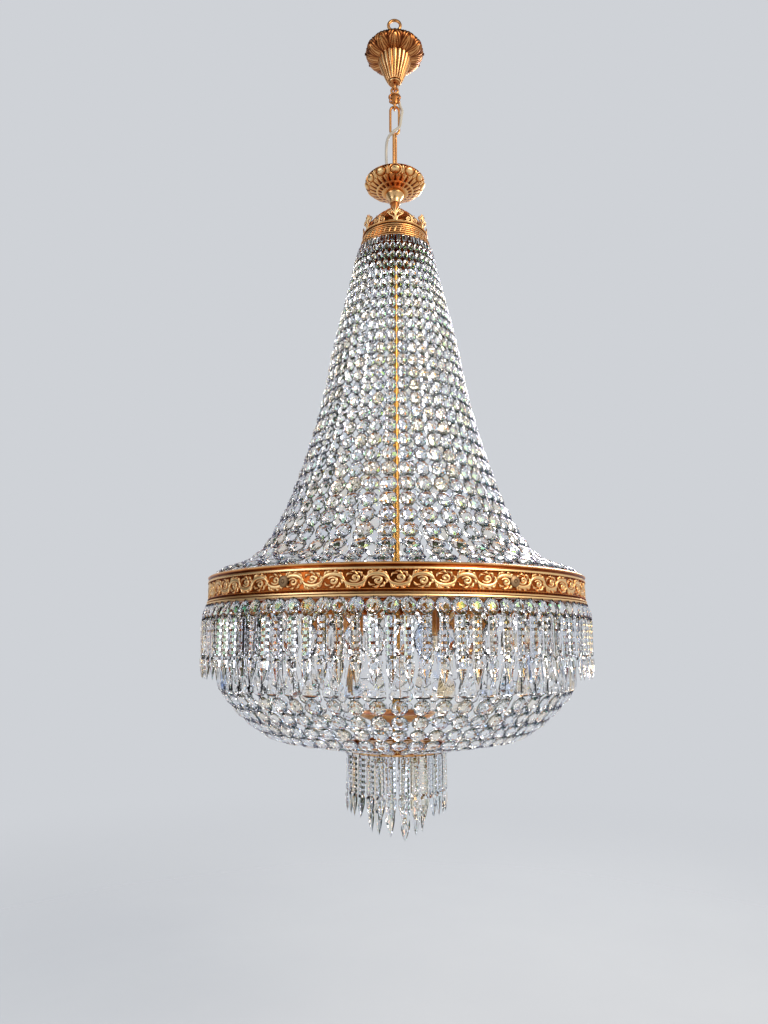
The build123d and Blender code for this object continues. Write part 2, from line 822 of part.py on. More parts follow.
with BuildPart() as basket_octagons:
    with PolarLocations(0, basket_count):
        add(lozenge(basket_start, oval_start - fall * bead_gap, out, basket_octagon_width, 6.0))
basket_octagons.part.label = "basket_octagons"

with BuildPart() as basket_ovals:
    with PolarLocations(0, basket_count):
        add(lozenge(oval_start, prism_start - fall * bead_gap, out, basket_oval_width, 7.0))
basket_ovals.part.label = "basket_ovals"

with BuildPart() as basket_prism:
    prism_sections = []
    for place, breadth in ((0.0, prism_top_width), (prism_length - bead_gap, prism_foot_width)):
        centre = prism_start + fall * place
        with BuildSketch(Plane(origin=centre, x_dir=(0, 1, 0), z_dir=fall)) as section:
            Polygon(
                (-breadth / 2, 0),
                (breadth / 2, 0),
                (0, prism_depth * breadth / prism_foot_width),
                align=None,
            )
        prism_sections.append(section.sketch.faces()[0])
    loft(sections=prism_sections, ruled=True)
with BuildPart() as basket_prisms:
    with PolarLocations(0, basket_count):
        add(basket_prism.part)
basket_prisms.part.label = "basket_prisms"

row_points = [prism_finish]
row_slope = basket_row_slope
for row in range(basket_rows):
    step_out = Vector(-cos(radians(row_slope)), 0, -sin(radians(row_slope)))
    row_points.append(row_points[-1] + step_out * basket_row_length)
    row_slope -= basket_row_turn
with BuildPart() as basket_string:
    for upper, lower in zip(row_points, row_points[1:]):
        run = (lower - upper).normalized()
        outward = Vector(-run.Z, 0, run.X)
        width = min(
            basket_row_length * 0.8,
            (upper.X + lower.X) * sin(pi / basket_count) - bead_gap,
        )
        add(lozenge(upper, lower - run * bead_gap, outward, width, 5.0))
with BuildPart() as basket_lower_strings:
    with PolarLocations(0, basket_count):
        add(basket_string.part)
basket_lower_strings.part.label = "basket_lower_strings"

under_start = row_points[-1]
under_finish = Vector(bottom_ring_r + seat_gap, 0, bottom_ring_top - bottom_ring_height * 0.35)
with BuildPart() as under_string:
    for row in range(under_rows):
        upper = under_start + (under_finish - under_start) * (row / under_rows)
        lower = under_start + (under_finish - under_start) * ((row + 1) / under_rows)
        run = (lower - upper).normalized()
        outward = Vector(-run.Z, 0, run.X)
        width = min(
            (lower - upper).length * 0.75,
            (upper.X + lower.X) * sin(pi / under_count) * 0.6,
        )
        end = lower if row == under_rows - 1 else lower - run * bead_gap
        add(lozenge(upper, end, outward, width, 4.5))
with BuildPart() as under_strings:
    with PolarLocations(0, under_count):
        add(under_string.part)
under_strings.part.label = "under_strings"

# ---------------------------------------------------------------- bottom
with BuildPart() as bottom_ring:
    band = [
        (bottom_ring_bottom, bottom_ring_r - 1),
        (bottom_ring_bottom + bottom_ring_height * 0.5, bottom_ring_r - 2),
        (bottom_ring_top, bottom_ring_r),
    ]
    add(turned(band, outer_count))
    hollow = [
        (bottom_ring_bottom, bottom_ring_r - bottom_ring_wall),
        (bottom_ring_top, bottom_ring_r - bottom_ring_wall),
    ]
    add(turned(hollow, outer_count), mode=Mode.SUBTRACT)
bottom_ring.part.label = "bottom_ring"

spoke_end = (bottom_ring_r - bottom_ring_wall) * cos(pi / outer_count) - 0.1
with BuildPart() as bottom_spider:
    with BuildSketch(Plane.XY.offset(spider_bottom)):
        RegularPolygon(inner_ring_r + inner_ring_half, inner_count)
        RegularPolygon(inner_ring_r - inner_ring_half, inner_count, mode=Mode.SUBTRACT)
        RegularPolygon(spider_bore_r + 5, hole_flats)
        with PolarLocations((spider_bore_r + spoke_end) / 2, spoke_count, start_angle=30):
            Rectangle(spoke_end - spider_bore_r, spoke_width)
        RegularPolygon(bore_corner_r, hole_flats, mode=Mode.SUBTRACT)
    extrude(amount=spider_thick)
bottom_spider.part.label = "bottom_spider"

with BuildPart() as lower_dish:
    add(turned(stretched(dish_bottom, dish_height, dish_form), flat_count))
    (_, foot_r), (bowl_share, bowl_r), (_, lip_r) = dish_form
    dish_hollow = [
        (dish_bottom + dish_wall, foot_r),
        (dish_bottom + dish_wall + dish_height * bowl_share, bowl_r - dish_wall),
        (dish_bottom + dish_height, lip_r - dish_wall),
    ]
    add(turned(dish_hollow, flat_count), mode=Mode.SUBTRACT)
    add(bore(dish_bottom, dish_bottom + dish_wall), mode=Mode.SUBTRACT)
lower_dish.part.label = "lower_dish"

with BuildPart() as dish_nut:
    add(turned([(dish_bottom - nut_height, nut_r * 0.7), (dish_bottom, nut_r)], 6))
    add(bore(dish_bottom - nut_height, dish_bottom), mode=Mode.SUBTRACT)
dish_nut.part.label = "dish_nut"

with BuildPart() as finial:
    add(turned(stretched(tube_bottom - finial_height, finial_height, finial_form), lamp_flats))
finial.part.label = "finial"

with BuildPart() as bottom_spears_outer:
    with PolarLocations(0, outer_count, start_angle=180 / outer_count):
        add(
            spear(
                outer_circle_r,
                bottom_ring_bottom - seat_gap,
                outer_bar,
                spear_tip,
                outer_width,
                outer_width * shoulder_share,
            )
        )
bottom_spears_outer.part.label = "bottom_spears_outer"

inner_top = spider_bottom - seat_gap
inner_foot = inner_top - inner_octagon
with BuildPart() as bottom_octagons_inner:
    with PolarLocations(0, inner_count, start_angle=inner_start):
        add(
            lozenge(
                Vector(inner_ring_r, 0, inner_top),
                Vector(inner_ring_r, 0, inner_foot),
                Vector(1, 0, 0),
                inner_octagon * octagon_share,
                5.0,
            )
        )
bottom_octagons_inner.part.label = "bottom_octagons_inner"

with BuildPart() as bottom_spears_inner:
    with PolarLocations(0, inner_count, start_angle=inner_start):
        add(
            spear(
                inner_ring_r,
                inner_foot - bead_gap,
                inner_bar,
                spear_tip,
                outer_width,
                outer_width * shoulder_share,
            )
        )
bottom_spears_inner.part.label = "bottom_spears_inner"

# ---------------------------------------------------------------- centre pendant
hook_bottom = spider_bottom - pendant_hook
with BuildPart() as pendant_pin:
    rod_y = clip_reach + pin_r
    with BuildSketch(Plane.XY.offset(hook_bottom - pin_r)):
        with Locations((pendant_offset, rod_y)):
            RegularPolygon(pin_r, 6)
    extrude(amount=pendant_hook + pin_r)
    with BuildSketch(Plane.XZ.offset(-rod_y)):
        with Locations((pendant_offset, hook_bottom)):
            Circle(pin_r)
    extrude(amount=rod_y + clip_reach)
pendant_pin.part.label = "pendant_pin"

octagon_centre = hook_bottom - pendant_octagon_size / 2 + 2 * hole_r
octagon_corner = pendant_octagon_size / 2 / cos(pi / 8)
lower_hole_level = octagon_centre - pendant_octagon_size / 2 + 2 * hole_r
with BuildPart() as pendant_octagon:
    with BuildSketch(Plane.XZ):
        with Locations((pendant_offset, octagon_centre)):
            RegularPolygon(octagon_corner, 8, rotation=22.5)
    extrude(amount=pendant_octagon_thick / 2, both=True)
    bevels = pendant_octagon.faces().filter_by(Axis.Y).edges()
    chamfer(bevels, length=pendant_octagon_thick * 0.3)
    with BuildSketch(Plane.XZ):
        with Locations((pendant_offset, hook_bottom), (pendant_offset, lower_hole_level)):
            Circle(hole_r)
    extrude(amount=pendant_octagon_thick, both=True, mode=Mode.SUBTRACT)
pendant_octagon.part.label = "pendant_octagon"

clip_drop = 8.0
pendant_top = lower_hole_level - clip_drop
with BuildPart() as pendant_clip:
    with BuildSketch(Plane.XZ.offset(-clip_reach)):
        with Locations((pendant_offset, lower_hole_level)):
            Circle(pin_r)
    extrude(amount=2 * clip_reach)
    with BuildSketch(Plane.XY.offset(pendant_top)):
        with Locations((pendant_offset, clip_reach), (pendant_offset, -clip_reach)):
            RegularPolygon(pin_r, 6)
    extrude(amount=clip_drop + pin_r * 0.8)
pendant_clip.part.label = "pendant_clip"

with BuildPart() as pendant_spear:
    half = pendant_width / 2
    pendant_sections = []
    for level, breadth in ((pendant_top, half), (pendant_top - pendant_bar, half * 1.1)):
        with BuildSketch(Plane.XY.offset(level)) as section:
            with Locations((pendant_offset, 0)):
                RegularPolygon(breadth, 6, rotation=30)
        pendant_sections.append(section.sketch.faces()[0])
    pendant_point = Vertex(pendant_offset, 0, pendant_top - pendant_bar - pendant_tip)
    loft(sections=pendant_sections + [pendant_point], ruled=True)
pendant_spear.part.label = "pendant_spear"

# ---------------------------------------------------------------- files
pieces = [
    hanging_eye, terminal_block, canopy_collar, stem_loop,
    canopy_shell, canopy_leaf_rim, canopy_knobs,
    leaf_link, oval_link_upper, oval_link_lower, top_loop,
    centre_tube, gallery_cup, neck_knob, neck_sleeve,
    crown_dome, crown_ring, crown_palmettes, crown_scrolls,
    main_ring, ring_screws, arms_hub, arched_arms, lamp_cups, lamp_sleeves,
    tent_baguettes, tent_strings, fringe_octagons, fringe_spears,
    basket_octagons, basket_ovals, basket_prisms, basket_lower_strings, under_strings,
    bottom_ring, bottom_spider, lower_dish, dish_nut, finial,
    bottom_spears_outer, bottom_octagons_inner, bottom_spears_inner,
    pendant_pin, pendant_octagon, pendant_clip, pendant_spear,
]
os.makedirs("parts", exist_ok=True)
for piece in pieces:
    export_step(piece.part, "parts/" + piece.part.label + ".step")
for part in cable_parts:
    export_step(part, "parts/" + part.label + ".step")
print("pivots", [round(level, 2) for level in (pivot_leaf, pivot_upper, pivot_lower, pivot_head)])
print("pendant pivots", round(hook_bottom, 2), round(lower_hole_level, 2))
print("lamp holders", round(lamp_top, 2), round(sleeve_bottom, 2))
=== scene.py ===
import math
import bmesh
import bpy
import numpy as np
from mathutils import Matrix, Vector


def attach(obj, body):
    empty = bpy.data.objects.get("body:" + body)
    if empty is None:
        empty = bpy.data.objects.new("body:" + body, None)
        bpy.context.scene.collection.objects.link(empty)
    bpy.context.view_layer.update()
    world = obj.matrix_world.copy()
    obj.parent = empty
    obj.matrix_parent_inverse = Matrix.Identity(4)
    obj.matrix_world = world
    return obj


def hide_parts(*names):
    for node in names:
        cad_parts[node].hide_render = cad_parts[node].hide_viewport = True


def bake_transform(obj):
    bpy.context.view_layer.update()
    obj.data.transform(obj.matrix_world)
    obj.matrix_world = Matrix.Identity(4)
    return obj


# The crystal chandelier: crystals, gilt ornament, links and lamp holders laid
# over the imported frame. Lengths are millimetres, and metres in the studio.
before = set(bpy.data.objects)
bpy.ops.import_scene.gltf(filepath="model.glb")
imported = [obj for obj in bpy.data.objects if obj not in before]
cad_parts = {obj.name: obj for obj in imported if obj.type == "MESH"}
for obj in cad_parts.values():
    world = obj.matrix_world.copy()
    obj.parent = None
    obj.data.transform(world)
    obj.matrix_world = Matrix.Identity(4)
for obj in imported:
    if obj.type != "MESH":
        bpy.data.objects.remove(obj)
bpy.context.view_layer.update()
scene = bpy.context.scene
scene.view_settings.view_transform = "Standard"
mm = 0.001

# The camera stands 1.1 m in front, at the fringe's level, and looks a little up.
cameraAt = {"place": (-18.2, -1124.7, -1068.0), "pitch": 10.19, "lens": 26.0}
cameraData = bpy.data.cameras.new("camera")
cameraData.lens = cameraAt["lens"]
cameraData.clip_start = 0.01
camera = bpy.data.objects.new("camera", cameraData)
camera.location = [v * mm for v in cameraAt["place"]]
camera.rotation_euler = (math.radians(90 + cameraAt["pitch"]), 0, 0)
scene.collection.objects.link(camera)
scene.camera = camera

# Counts as in the solids; rosettes, arms, lamps, palmettes and scrolls are
# sixfold. Then the level of the crown's top edge.
strings = 42
fringeCount = 88
basketCount = 60
underCount = 30
outerSpearCount = 28
innerSpearCount = 12
sixfold = 6
crownTop = -405.0
# Radius of the bore that turned pieces have for the centre tube.
bore = 6.3


def linear(code):
    values = [int(code[k:k + 2], 16) / 255 for k in (1, 3, 5)]
    return [v / 12.92 if v <= 0.04045 else ((v + 0.055) / 1.055) ** 2.4 for v in values] + [1.0]


def addNode(tree, kind, links=None, **settings):
    node = tree.nodes.new(kind)
    for key, value in settings.items():
        if key in node.inputs:
            node.inputs[key].default_value = value
        else:
            setattr(node, key, value)
    for key, source in (links or {}).items():
        tree.links.new(source, node.inputs[key])
    return node


def ramp(tree, source, stops):
    node = addNode(tree, "ShaderNodeValToRGB", {"Fac": source})
    elements = node.color_ramp.elements
    while len(elements) < len(stops):
        elements.new(0.5)
    for element, (place, code) in zip(elements, stops):
        element.position = place
        element.color = linear(code) if isinstance(code, str) else (code, code, code, 1.0)
    return node.outputs["Color"]


def newMaterial(name):
    material = bpy.data.materials.new(name)
    material.use_nodes = True
    tree = material.node_tree
    tree.nodes.clear()
    output = addNode(tree, "ShaderNodeOutputMaterial")
    place = addNode(tree, "ShaderNodeTexCoord").outputs["Object"]
    return material, tree, output, place


def noise(tree, place, scale, detail=3.0, stretch=(1, 1, 1)):
    mapped = addNode(tree, "ShaderNodeMapping", {"Vector": place})
    mapped.inputs["Scale"].default_value = stretch
    return addNode(
        tree, "ShaderNodeTexNoise", {"Vector": mapped.outputs[0]}, Scale=scale, Detail=detail,
    ).outputs["Fac"]


def spanned(tree, value, low, high):
    limits = {"To Min": low, "To Max": high}
    return addNode(tree, "ShaderNodeMapRange", {"Value": value}, **limits).outputs[0]


def surfaced(tree, output, links, **settings):
    shader = addNode(tree, "ShaderNodeBsdfPrincipled", links, **settings)
    tree.links.new(shader.outputs[0], output.inputs["Surface"])


def giltMaterial(name, stops, rough, grain, stretch=(1, 1, 1), lift=0.0):
    material, tree, output, place = newMaterial(name)
    relief = addNode(tree, "ShaderNodeAttribute", attribute_name="relief").outputs["Fac"]
    patina = noise(tree, place, 38.0, 4.0, stretch)
    fine = noise(tree, place, grain, 3.0, stretch)
    worn = addNode(tree, "ShaderNodeMath", {0: patina}, operation="MULTIPLY_ADD")
    worn.inputs[1].default_value = 0.5
    worn.inputs[2].default_value = lift - 0.25
    height = addNode(tree, "ShaderNodeMath", {0: relief, 1: worn.outputs[0]}, operation="ADD")
    colour = ramp(tree, height.outputs[0], stops)
    bump = addNode(tree, "ShaderNodeBump", {"Height": fine}, Strength=0.25, Distance=0.0004)
    surfaced(tree, output, {
        "Base Color": colour, "Roughness": spanned(tree, fine, *rough), "Normal": bump.outputs[0],
    }, Metallic=1.0)
    return material


# Gilt pressing: bright gold on the ridges and copper brown lacquer in the
# hollows, with 26 mm drifts of wear and a 2 mm hammered grain.
giltPressing = giltMaterial(
    "gilt pressing",
    [(0.0, "#55220F"), (0.3, "#A4531F"), (0.6, "#DC9046"), (0.95, "#FFD698")],
    (0.24, 0.46),
    420.0,
)
# Cast gilt brass for canopy, chain, arms and lamp holders: softer and redder
# than the ring.
castBrass = giltMaterial(
    "cast gilt brass",
    [(0.0, "#5A2612"), (0.35, "#A96434"), (0.7, "#D99A5C"), (1.0, "#FBD79C")],
    (0.25, 0.45),
    300.0,
)
# Plated tube: drawn streaks run along it, so the shine is a long line.
platedTube = giltMaterial(
    "plated tube",
    [(0.0, "#A5692B"), (0.5, "#D9A257"), (1.0, "#F7D394")],
    (0.14, 0.28),
    260.0,
    (1, 1, 0.04),
    0.5,
)
# Plain gilt bars that stay as the solids have them: hub and spider.
plainGilt = giltMaterial(
    "plain gilt bar",
    [(0.0, "#7A4A22"), (0.5, "#C98E48"), (1.0, "#F4CB86")],
    (0.25, 0.45),
    300.0,
    (1, 1, 1),
    0.6,
)
# Screw heads on the ring: worn to a dull grey bronze, flatter than the gilt.
screwBronze = giltMaterial(
    "screw bronze",
    [(0.0, "#3A2416"), (0.45, "#8F7050"), (0.8, "#B79A78"), (1.0, "#D9C3A2")],
    (0.42, 0.62),
    400.0,
)
# Bronze wire of the pins that join the crystals: small dark dots.
pinBronze = giltMaterial(
    "pin bronze",
    [(0.0, "#2A1B10"), (0.5, "#4B3018"), (1.0, "#8A6330")],
    (0.3, 0.5),
    500.0,
)


def crystalMaterial(name, tints, tintScale, smear, film):
    material, tree, output, place = newMaterial(name)
    tone = addNode(tree, "ShaderNodeAttribute", attribute_name="tone").outputs["Fac"]
    drift = noise(tree, place, tintScale, 2.0)
    mixed = addNode(tree, "ShaderNodeMath", {0: tone, 1: drift}, operation="ADD")
    halved = addNode(tree, "ShaderNodeMath", {0: mixed.outputs[0]}, operation="MULTIPLY")
    halved.inputs[1].default_value = 0.5
    cast = ramp(tree, halved.outputs[0], tints)
    # Painted shade: the edge attribute darkens the colour towards each crystal's rim.
    edge = addNode(tree, "ShaderNodeAttribute", attribute_name="edge").outputs["Fac"]
    shade = ramp(tree, edge, [(0.35, "#FFFFFF"), (0.8, "#A9A7A6"), (1.0, "#5B5856")])
    shaded = addNode(tree, "ShaderNodeVectorMath", {0: cast, 1: shade}, operation="MULTIPLY")
    dust = noise(tree, place, 900.0, 2.0)
    surfaced(tree, output, {
        "Base Color": shaded.outputs[0], "Roughness": spanned(tree, dust, 0.0, smear),
    }, IOR=1.58, **{
        "Transmission Weight": 1.0, "Thin Film Thickness": film, "Thin Film IOR": 1.38,
    })
    return material


# Lead crystal: clear, with a faint grey or straw cast from bead to bead, painted
# shade on the rims so that each octagon reads, and a trace of dust.
leadCrystal = crystalMaterial(
    "lead crystal", [(0.25, "#F4F6FA"), (0.5, "#FFFFFF"), (0.75, "#FFF6E6")], 30.0, 0.05, 420.0,
)
# The basket's ovals and prisms: blue and amber casts here and there, in place
# of the colours that they would split from the light.
prismCrystal = crystalMaterial(
    "prism crystal",
    [(0.22, "#CFE0FF"), (0.36, "#FFFFFF"), (0.68, "#FFFFFF"), (0.8, "#FFE6BC")],
    55.0,
    0.03,
    0.0,
)


def plainMaterial(name, stops, scale, rough, bumpSize, stretch=(1, 1, 1)):
    material, tree, output, place = newMaterial(name)
    colour = ramp(tree, noise(tree, place, scale, 3.0, stretch), stops)
    fine = noise(tree, place, scale * 12, 2.0)
    bump = addNode(tree, "ShaderNodeBump", {"Height": fine}, Strength=0.3, Distance=bumpSize)
    roughness = spanned(tree, fine, rough - 0.08, rough + 0.08)
    surfaced(tree, output, {
        "Base Color": colour, "Roughness": roughness, "Normal": bump.outputs[0],
    })
    return material


# Moulded terminal block: warm white, a little yellowed.
whitePlastic = plainMaterial(
    "white plastic", [(0.3, "#E6E0CF"), (0.7, "#F4F0E4")], 40.0, 0.42, 0.0001,
)
# The cable's jacket: pale grey beige with dull streaks down its length.
cableJacket = plainMaterial(
    "cable jacket", [(0.3, "#B9AF9C"), (0.7, "#DDD6C6")], 30.0, 0.38, 0.0001, (1, 1, 0.1),
)
print("materials made")


def finishMesh(spec, vertices, faces, relief):
    mesh = bpy.data.meshes.new(spec["name"])
    mesh.from_pydata([tuple(v) for v in np.asarray(vertices, float) * mm], [], faces)
    mesh.validate()
    shell = bmesh.new()
    shell.from_mesh(mesh)
    bmesh.ops.recalc_face_normals(shell, faces=shell.faces)
    shell.to_mesh(mesh)
    shell.free()
    attribute = mesh.attributes.new("relief", "FLOAT", "POINT")
    attribute.data.foreach_set("value", np.asarray(relief, np.float32))
    mesh.shade_smooth()
    mesh.set_sharp_from_angle(angle=math.radians(spec.get("sharp", 40)))
    piece = bpy.data.objects.new(spec["name"], mesh)
    scene.collection.objects.link(piece)
    mesh.materials.append(spec["material"])
    return piece


# The record's slot for each material. A piece that says nothing else rides
# the chandelier body.
slotOf = {
    "gilt pressing": "gilt_pressing", "cast gilt brass": "gilt_brass",
    "screw bronze": "gilt_brass", "pin bronze": "gilt_brass", "lead crystal": "lead_crystal",
    "prism crystal": "lead_crystal", "white plastic": "white_plastic",
    "cable jacket": "cable_pvc",
}


def settle(piece, spec):
    spec = {"body": "chandelier", "slot": slotOf[spec["material"].name], **spec}
    if "blend" in spec:
        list(spec["blend"])
        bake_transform(piece)
    else:
        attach(piece, spec["body"])
    if spec.get("replaces"):
        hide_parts(*spec["replaces"])
    return piece


def gridFaces(rows, columns, closeRows, closeColumns, base=0):
    faces = []
    for i in range(rows if closeRows else rows - 1):
        for j in range(columns if closeColumns else columns - 1):
            a = base + i * columns + j
            b = base + i * columns + (j + 1) % columns
            c = base + ((i + 1) % rows) * columns + (j + 1) % columns
            d = base + ((i + 1) % rows) * columns + j
            faces.append((a, b, c, d))
    return faces


def curveThrough(points, steps):
    points = [np.asarray(p, float) for p in points]
    padded = [2 * points[0] - points[1]] + points + [2 * points[-1] - points[-2]]
    found = []
    for k in range(1, len(padded) - 2):
        p0, p1, p2, p3 = padded[k - 1:k + 3]
        for s in range(steps):
            t = s / steps
            found.append(0.5 * (
                2 * p1 + (p2 - p0) * t + (2 * p0 - 5 * p1 + 4 * p2 - p3) * t ** 2
                + (3 * p1 - p0 - 3 * p2 + p3) * t ** 3
            ))
    found.append(points[-1])
    return found


# A turned form: the profile runs up the outside and back down the inside, so
# the skin is closed. push(angle, row) moves a point out along its radius.
def spun(profile, columns, push=None, relief=None, centre=(0.0, 0.0)):
    vertices, heights = [], []
    for row, (radius, level) in enumerate(profile):
        for column in range(columns):
            angle = 2 * math.pi * column / columns
            out = radius + (push(angle, row) if push else 0.0)
            vertices.append(
                (centre[0] + out * math.cos(angle), centre[1] + out * math.sin(angle), level)
            )
            heights.append(relief(angle, row) if relief else 0.6)
    return vertices, gridFaces(len(profile), columns, True, True), heights


def merged(forms):
    vertices, faces, heights = [], [], []
    for formVertices, formFaces, formHeights in forms:
        base = len(vertices)
        vertices.extend(formVertices)
        faces.extend([tuple(base + k for k in face) for face in formFaces])
        heights.extend(formHeights)
    return vertices, faces, heights


# A tapered, half round stroke drawn in (across, up) and raised off a surface.
# place(u, v, h) puts it on the piece. Strokes are closed and sink into it.
def stroke(curve, widths, raised, place, sides=6):
    curve = np.asarray(curve, float)
    slopes = np.gradient(curve, axis=0)
    slopes /= np.maximum(np.linalg.norm(slopes, axis=1, keepdims=True), 1e-9)
    widths = np.interp(np.linspace(0, 1, len(curve)), np.linspace(0, 1, len(widths)), widths)
    vertices, heights = [], []
    for (u, v), (du, dv), width in zip(curve, slopes, widths):
        for side in range(sides):
            angle = 2 * math.pi * side / sides
            across = width * math.cos(angle)
            up = raised * math.sin(angle) * min(1.0, width / max(widths) + 0.25)
            vertices.append(place(u - dv * across, v + du * across, up))
            heights.append(0.45 + 0.55 * max(0.0, math.sin(angle)))
    faces = gridFaces(len(curve), sides, False, True)
    faces.append(tuple(reversed(range(sides))))
    faces.append(tuple((len(curve) - 1) * sides + side for side in range(sides)))
    return vertices, faces, heights


def spiral(centre, startRadius, endRadius, startAngle, turn, steps=18):
    found = []
    for k in range(steps + 1):
        share = k / steps
        radius = startRadius * (endRadius / startRadius) ** share
        angle = math.radians(startAngle + turn * share)
        found.append((centre[0] + radius * math.cos(angle), centre[1] + radius * math.sin(angle)))
    return found


# The same stroke on both sides of the middle line.
def strokePair(curve, widths, raised, place):
    mirrored = [(-u, v) for u, v in curve]
    return [stroke(curve, widths, raised, place), stroke(mirrored, widths, raised, place)]


# place() for a drum of this radius: across runs round it, up from the level.
def onDrum(drum, level):
    def place(u, v, h):
        radius, angle = drum + h, u / drum
        return radius * math.cos(angle), radius * math.sin(angle), level + v
    return place


def tube(points, radius, sides, closed):
    points = [Vector(p) for p in points]
    count = len(points)
    tangents = []
    for k in range(count):
        before = points[k - 1] if closed or k > 0 else points[k]
        after = points[(k + 1) % count] if closed or k < count - 1 else points[k]
        tangents.append((after - before).normalized())
    normal = tangents[0].orthogonal().normalized()
    vertices = []
    for k in range(count):
        normal = (normal - tangents[k] * normal.dot(tangents[k])).normalized()
        other = tangents[k].cross(normal)
        size = radius[k] if isinstance(radius, (list, tuple)) else radius
        for side in range(sides):
            angle = 2 * math.pi * side / sides
            vertices.append(
                tuple(points[k] + (normal * math.cos(angle) + other * math.sin(angle)) * size)
            )
    faces = gridFaces(count, sides, closed, True)
    if not closed:
        faces.append(tuple(reversed(range(sides))))
        faces.append(tuple((count - 1) * sides + side for side in range(sides)))
    return vertices, faces, [0.7] * len(vertices)


def turnedAbout(form, angle):
    c, s = math.cos(angle), math.sin(angle)
    vertices, faces, heights = form
    return [(x * c - y * s, x * s + y * c, z) for x, y, z in vertices], faces, heights


def around(form, count, start=0.0):
    return merged([
        turnedAbout(form, math.radians(start) + 2 * math.pi * k / count) for k in range(count)
    ])


# The scatter: one tree lays every crystal, pin, bead and knob.
scatterTree = bpy.data.node_groups.new("crystalScatter", "GeometryNodeTree")
sockets = {}
for label, kind in (
    ("Geometry", "NodeSocketGeometry"), ("Shape", "NodeSocketObject"),
    ("Material", "NodeSocketMaterial"), ("Tilt", "NodeSocketFloat"), ("Seed", "NodeSocketInt"),
):
    sockets[label] = scatterTree.interface.new_socket(label, in_out="INPUT", socket_type=kind)
scatterTree.interface.new_socket("Geometry", in_out="OUTPUT", socket_type="NodeSocketGeometry")
given = addNode(scatterTree, "NodeGroupInput").outputs
shapeInfo = addNode(scatterTree, "GeometryNodeObjectInfo", {"Object": given["Shape"]})
turnOf, sizeOf = [
    addNode(scatterTree, "GeometryNodeInputNamedAttribute", data_type="FLOAT_VECTOR", Name=label)
    for label in ("turn", "size")
]
laid = addNode(scatterTree, "GeometryNodeInstanceOnPoints", {
    "Points": given["Geometry"], "Instance": shapeInfo.outputs["Geometry"],
    "Rotation": turnOf.outputs["Attribute"], "Scale": sizeOf.outputs["Attribute"],
})
swing = addNode(
    scatterTree, "FunctionNodeRandomValue", {"Seed": given["Seed"]}, data_type="FLOAT_VECTOR",
)
for index, most in enumerate(((-0.25, -0.25, -1.0), (0.25, 0.25, 1.0))):
    limit = addNode(
        scatterTree, "ShaderNodeVectorMath", {"Scale": given["Tilt"]}, operation="SCALE",
    )
    limit.inputs[0].default_value = most
    scatterTree.links.new(limit.outputs[0], swing.inputs[index])
swung = addNode(scatterTree, "GeometryNodeRotateInstances", {
    "Instances": laid.outputs["Instances"], "Rotation": swing.outputs[0],
})
toneOf = addNode(scatterTree, "FunctionNodeRandomValue", {"Seed": given["Seed"]}, data_type="FLOAT")
toned = addNode(scatterTree, "GeometryNodeStoreNamedAttribute", {
    "Geometry": swung.outputs["Instances"], "Value": toneOf.outputs[1],
}, data_type="FLOAT", domain="INSTANCE", Name="tone")
real = addNode(scatterTree, "GeometryNodeRealizeInstances", {"Geometry": toned.outputs[0]})
painted = addNode(scatterTree, "GeometryNodeSetMaterial", {
    "Geometry": real.outputs[0], "Material": given["Material"],
})
addNode(scatterTree, "NodeGroupOutput", {"Geometry": painted.outputs[0]})


def scattered(spec, shape, places):
    points = bpy.data.meshes.new(spec["name"] + "Points")
    points.from_pydata([tuple(np.asarray(place[0]) * mm) for place in places], [], [])
    for label, index in (("turn", 1), ("size", 2)):
        attribute = points.attributes.new(label, "FLOAT_VECTOR", "POINT")
        attribute.data.foreach_set(
            "vector", np.array([p[index] for p in places], np.float32).ravel()
        )
    holder = bpy.data.objects.new(spec["name"] + "Points", points)
    scene.collection.objects.link(holder)
    modifier = holder.modifiers.new("scatter", "NODES")
    modifier.node_group = scatterTree
    modifier[sockets["Shape"].identifier] = shape
    modifier[sockets["Material"].identifier] = spec["material"]
    modifier[sockets["Tilt"].identifier] = math.radians(spec.get("tilt", 0.0))
    modifier[sockets["Seed"].identifier] = spec["seed"]
    graph = bpy.context.evaluated_depsgraph_get()
    mesh = bpy.data.meshes.new_from_object(holder.evaluated_get(graph), depsgraph=graph)
    mesh.name = spec["name"]
    mesh.materials.clear()
    mesh.materials.append(spec["material"])
    holder.modifiers.clear()
    bpy.data.objects.remove(holder)
    piece = bpy.data.objects.new(spec["name"], mesh)
    scene.collection.objects.link(piece)
    print(spec["name"], len(places), "places", len(mesh.polygons), "faces")
    return settle(piece, spec)


# A crystal between two points (radius, level) of a string at an angle.
def laidGem(upper, lower, angle, width, depth, lift=0.5):
    c, s = math.cos(angle), math.sin(angle)
    top = Vector((upper[0] * c, upper[0] * s, upper[1]))
    foot = Vector((lower[0] * c, lower[0] * s, lower[1]))
    up = (top - foot).normalized()
    side = Vector((s, -c, 0))
    out = up.cross(side)
    turn = Matrix((side, out, up)).transposed().to_euler("XYZ")
    centre = (top + foot) / 2 + out * depth * lift
    return tuple(centre), tuple(turn), (width * mm, depth * mm, (top - foot).length * mm)


# Crystal shapes, one unit long, wide and deep.
def shapeObject(name, vertices, faces, edge=None):
    mesh = bpy.data.meshes.new(name)
    mesh.from_pydata([tuple(v) for v in vertices], [], faces)
    mesh.validate()
    # edge is 1 where the crystal material paints shade on the rim, 0 elsewhere.
    attribute = mesh.attributes.new("edge", "FLOAT", "POINT")
    attribute.data.foreach_set("value", np.array(edge or [0.0] * len(vertices), np.float32))
    return bpy.data.objects.new(name, mesh)


def outwardFaces(vertices, faces):
    middle = np.mean(vertices, axis=0)
    found = []
    for face in faces:
        corners = [np.asarray(vertices[k]) for k in face]
        normal = np.cross(corners[1] - corners[0], corners[2] - corners[0])
        if np.dot(normal, np.mean(corners, axis=0) - middle) < 0:
            face = tuple(reversed(face))
        found.append(tuple(face))
    return found


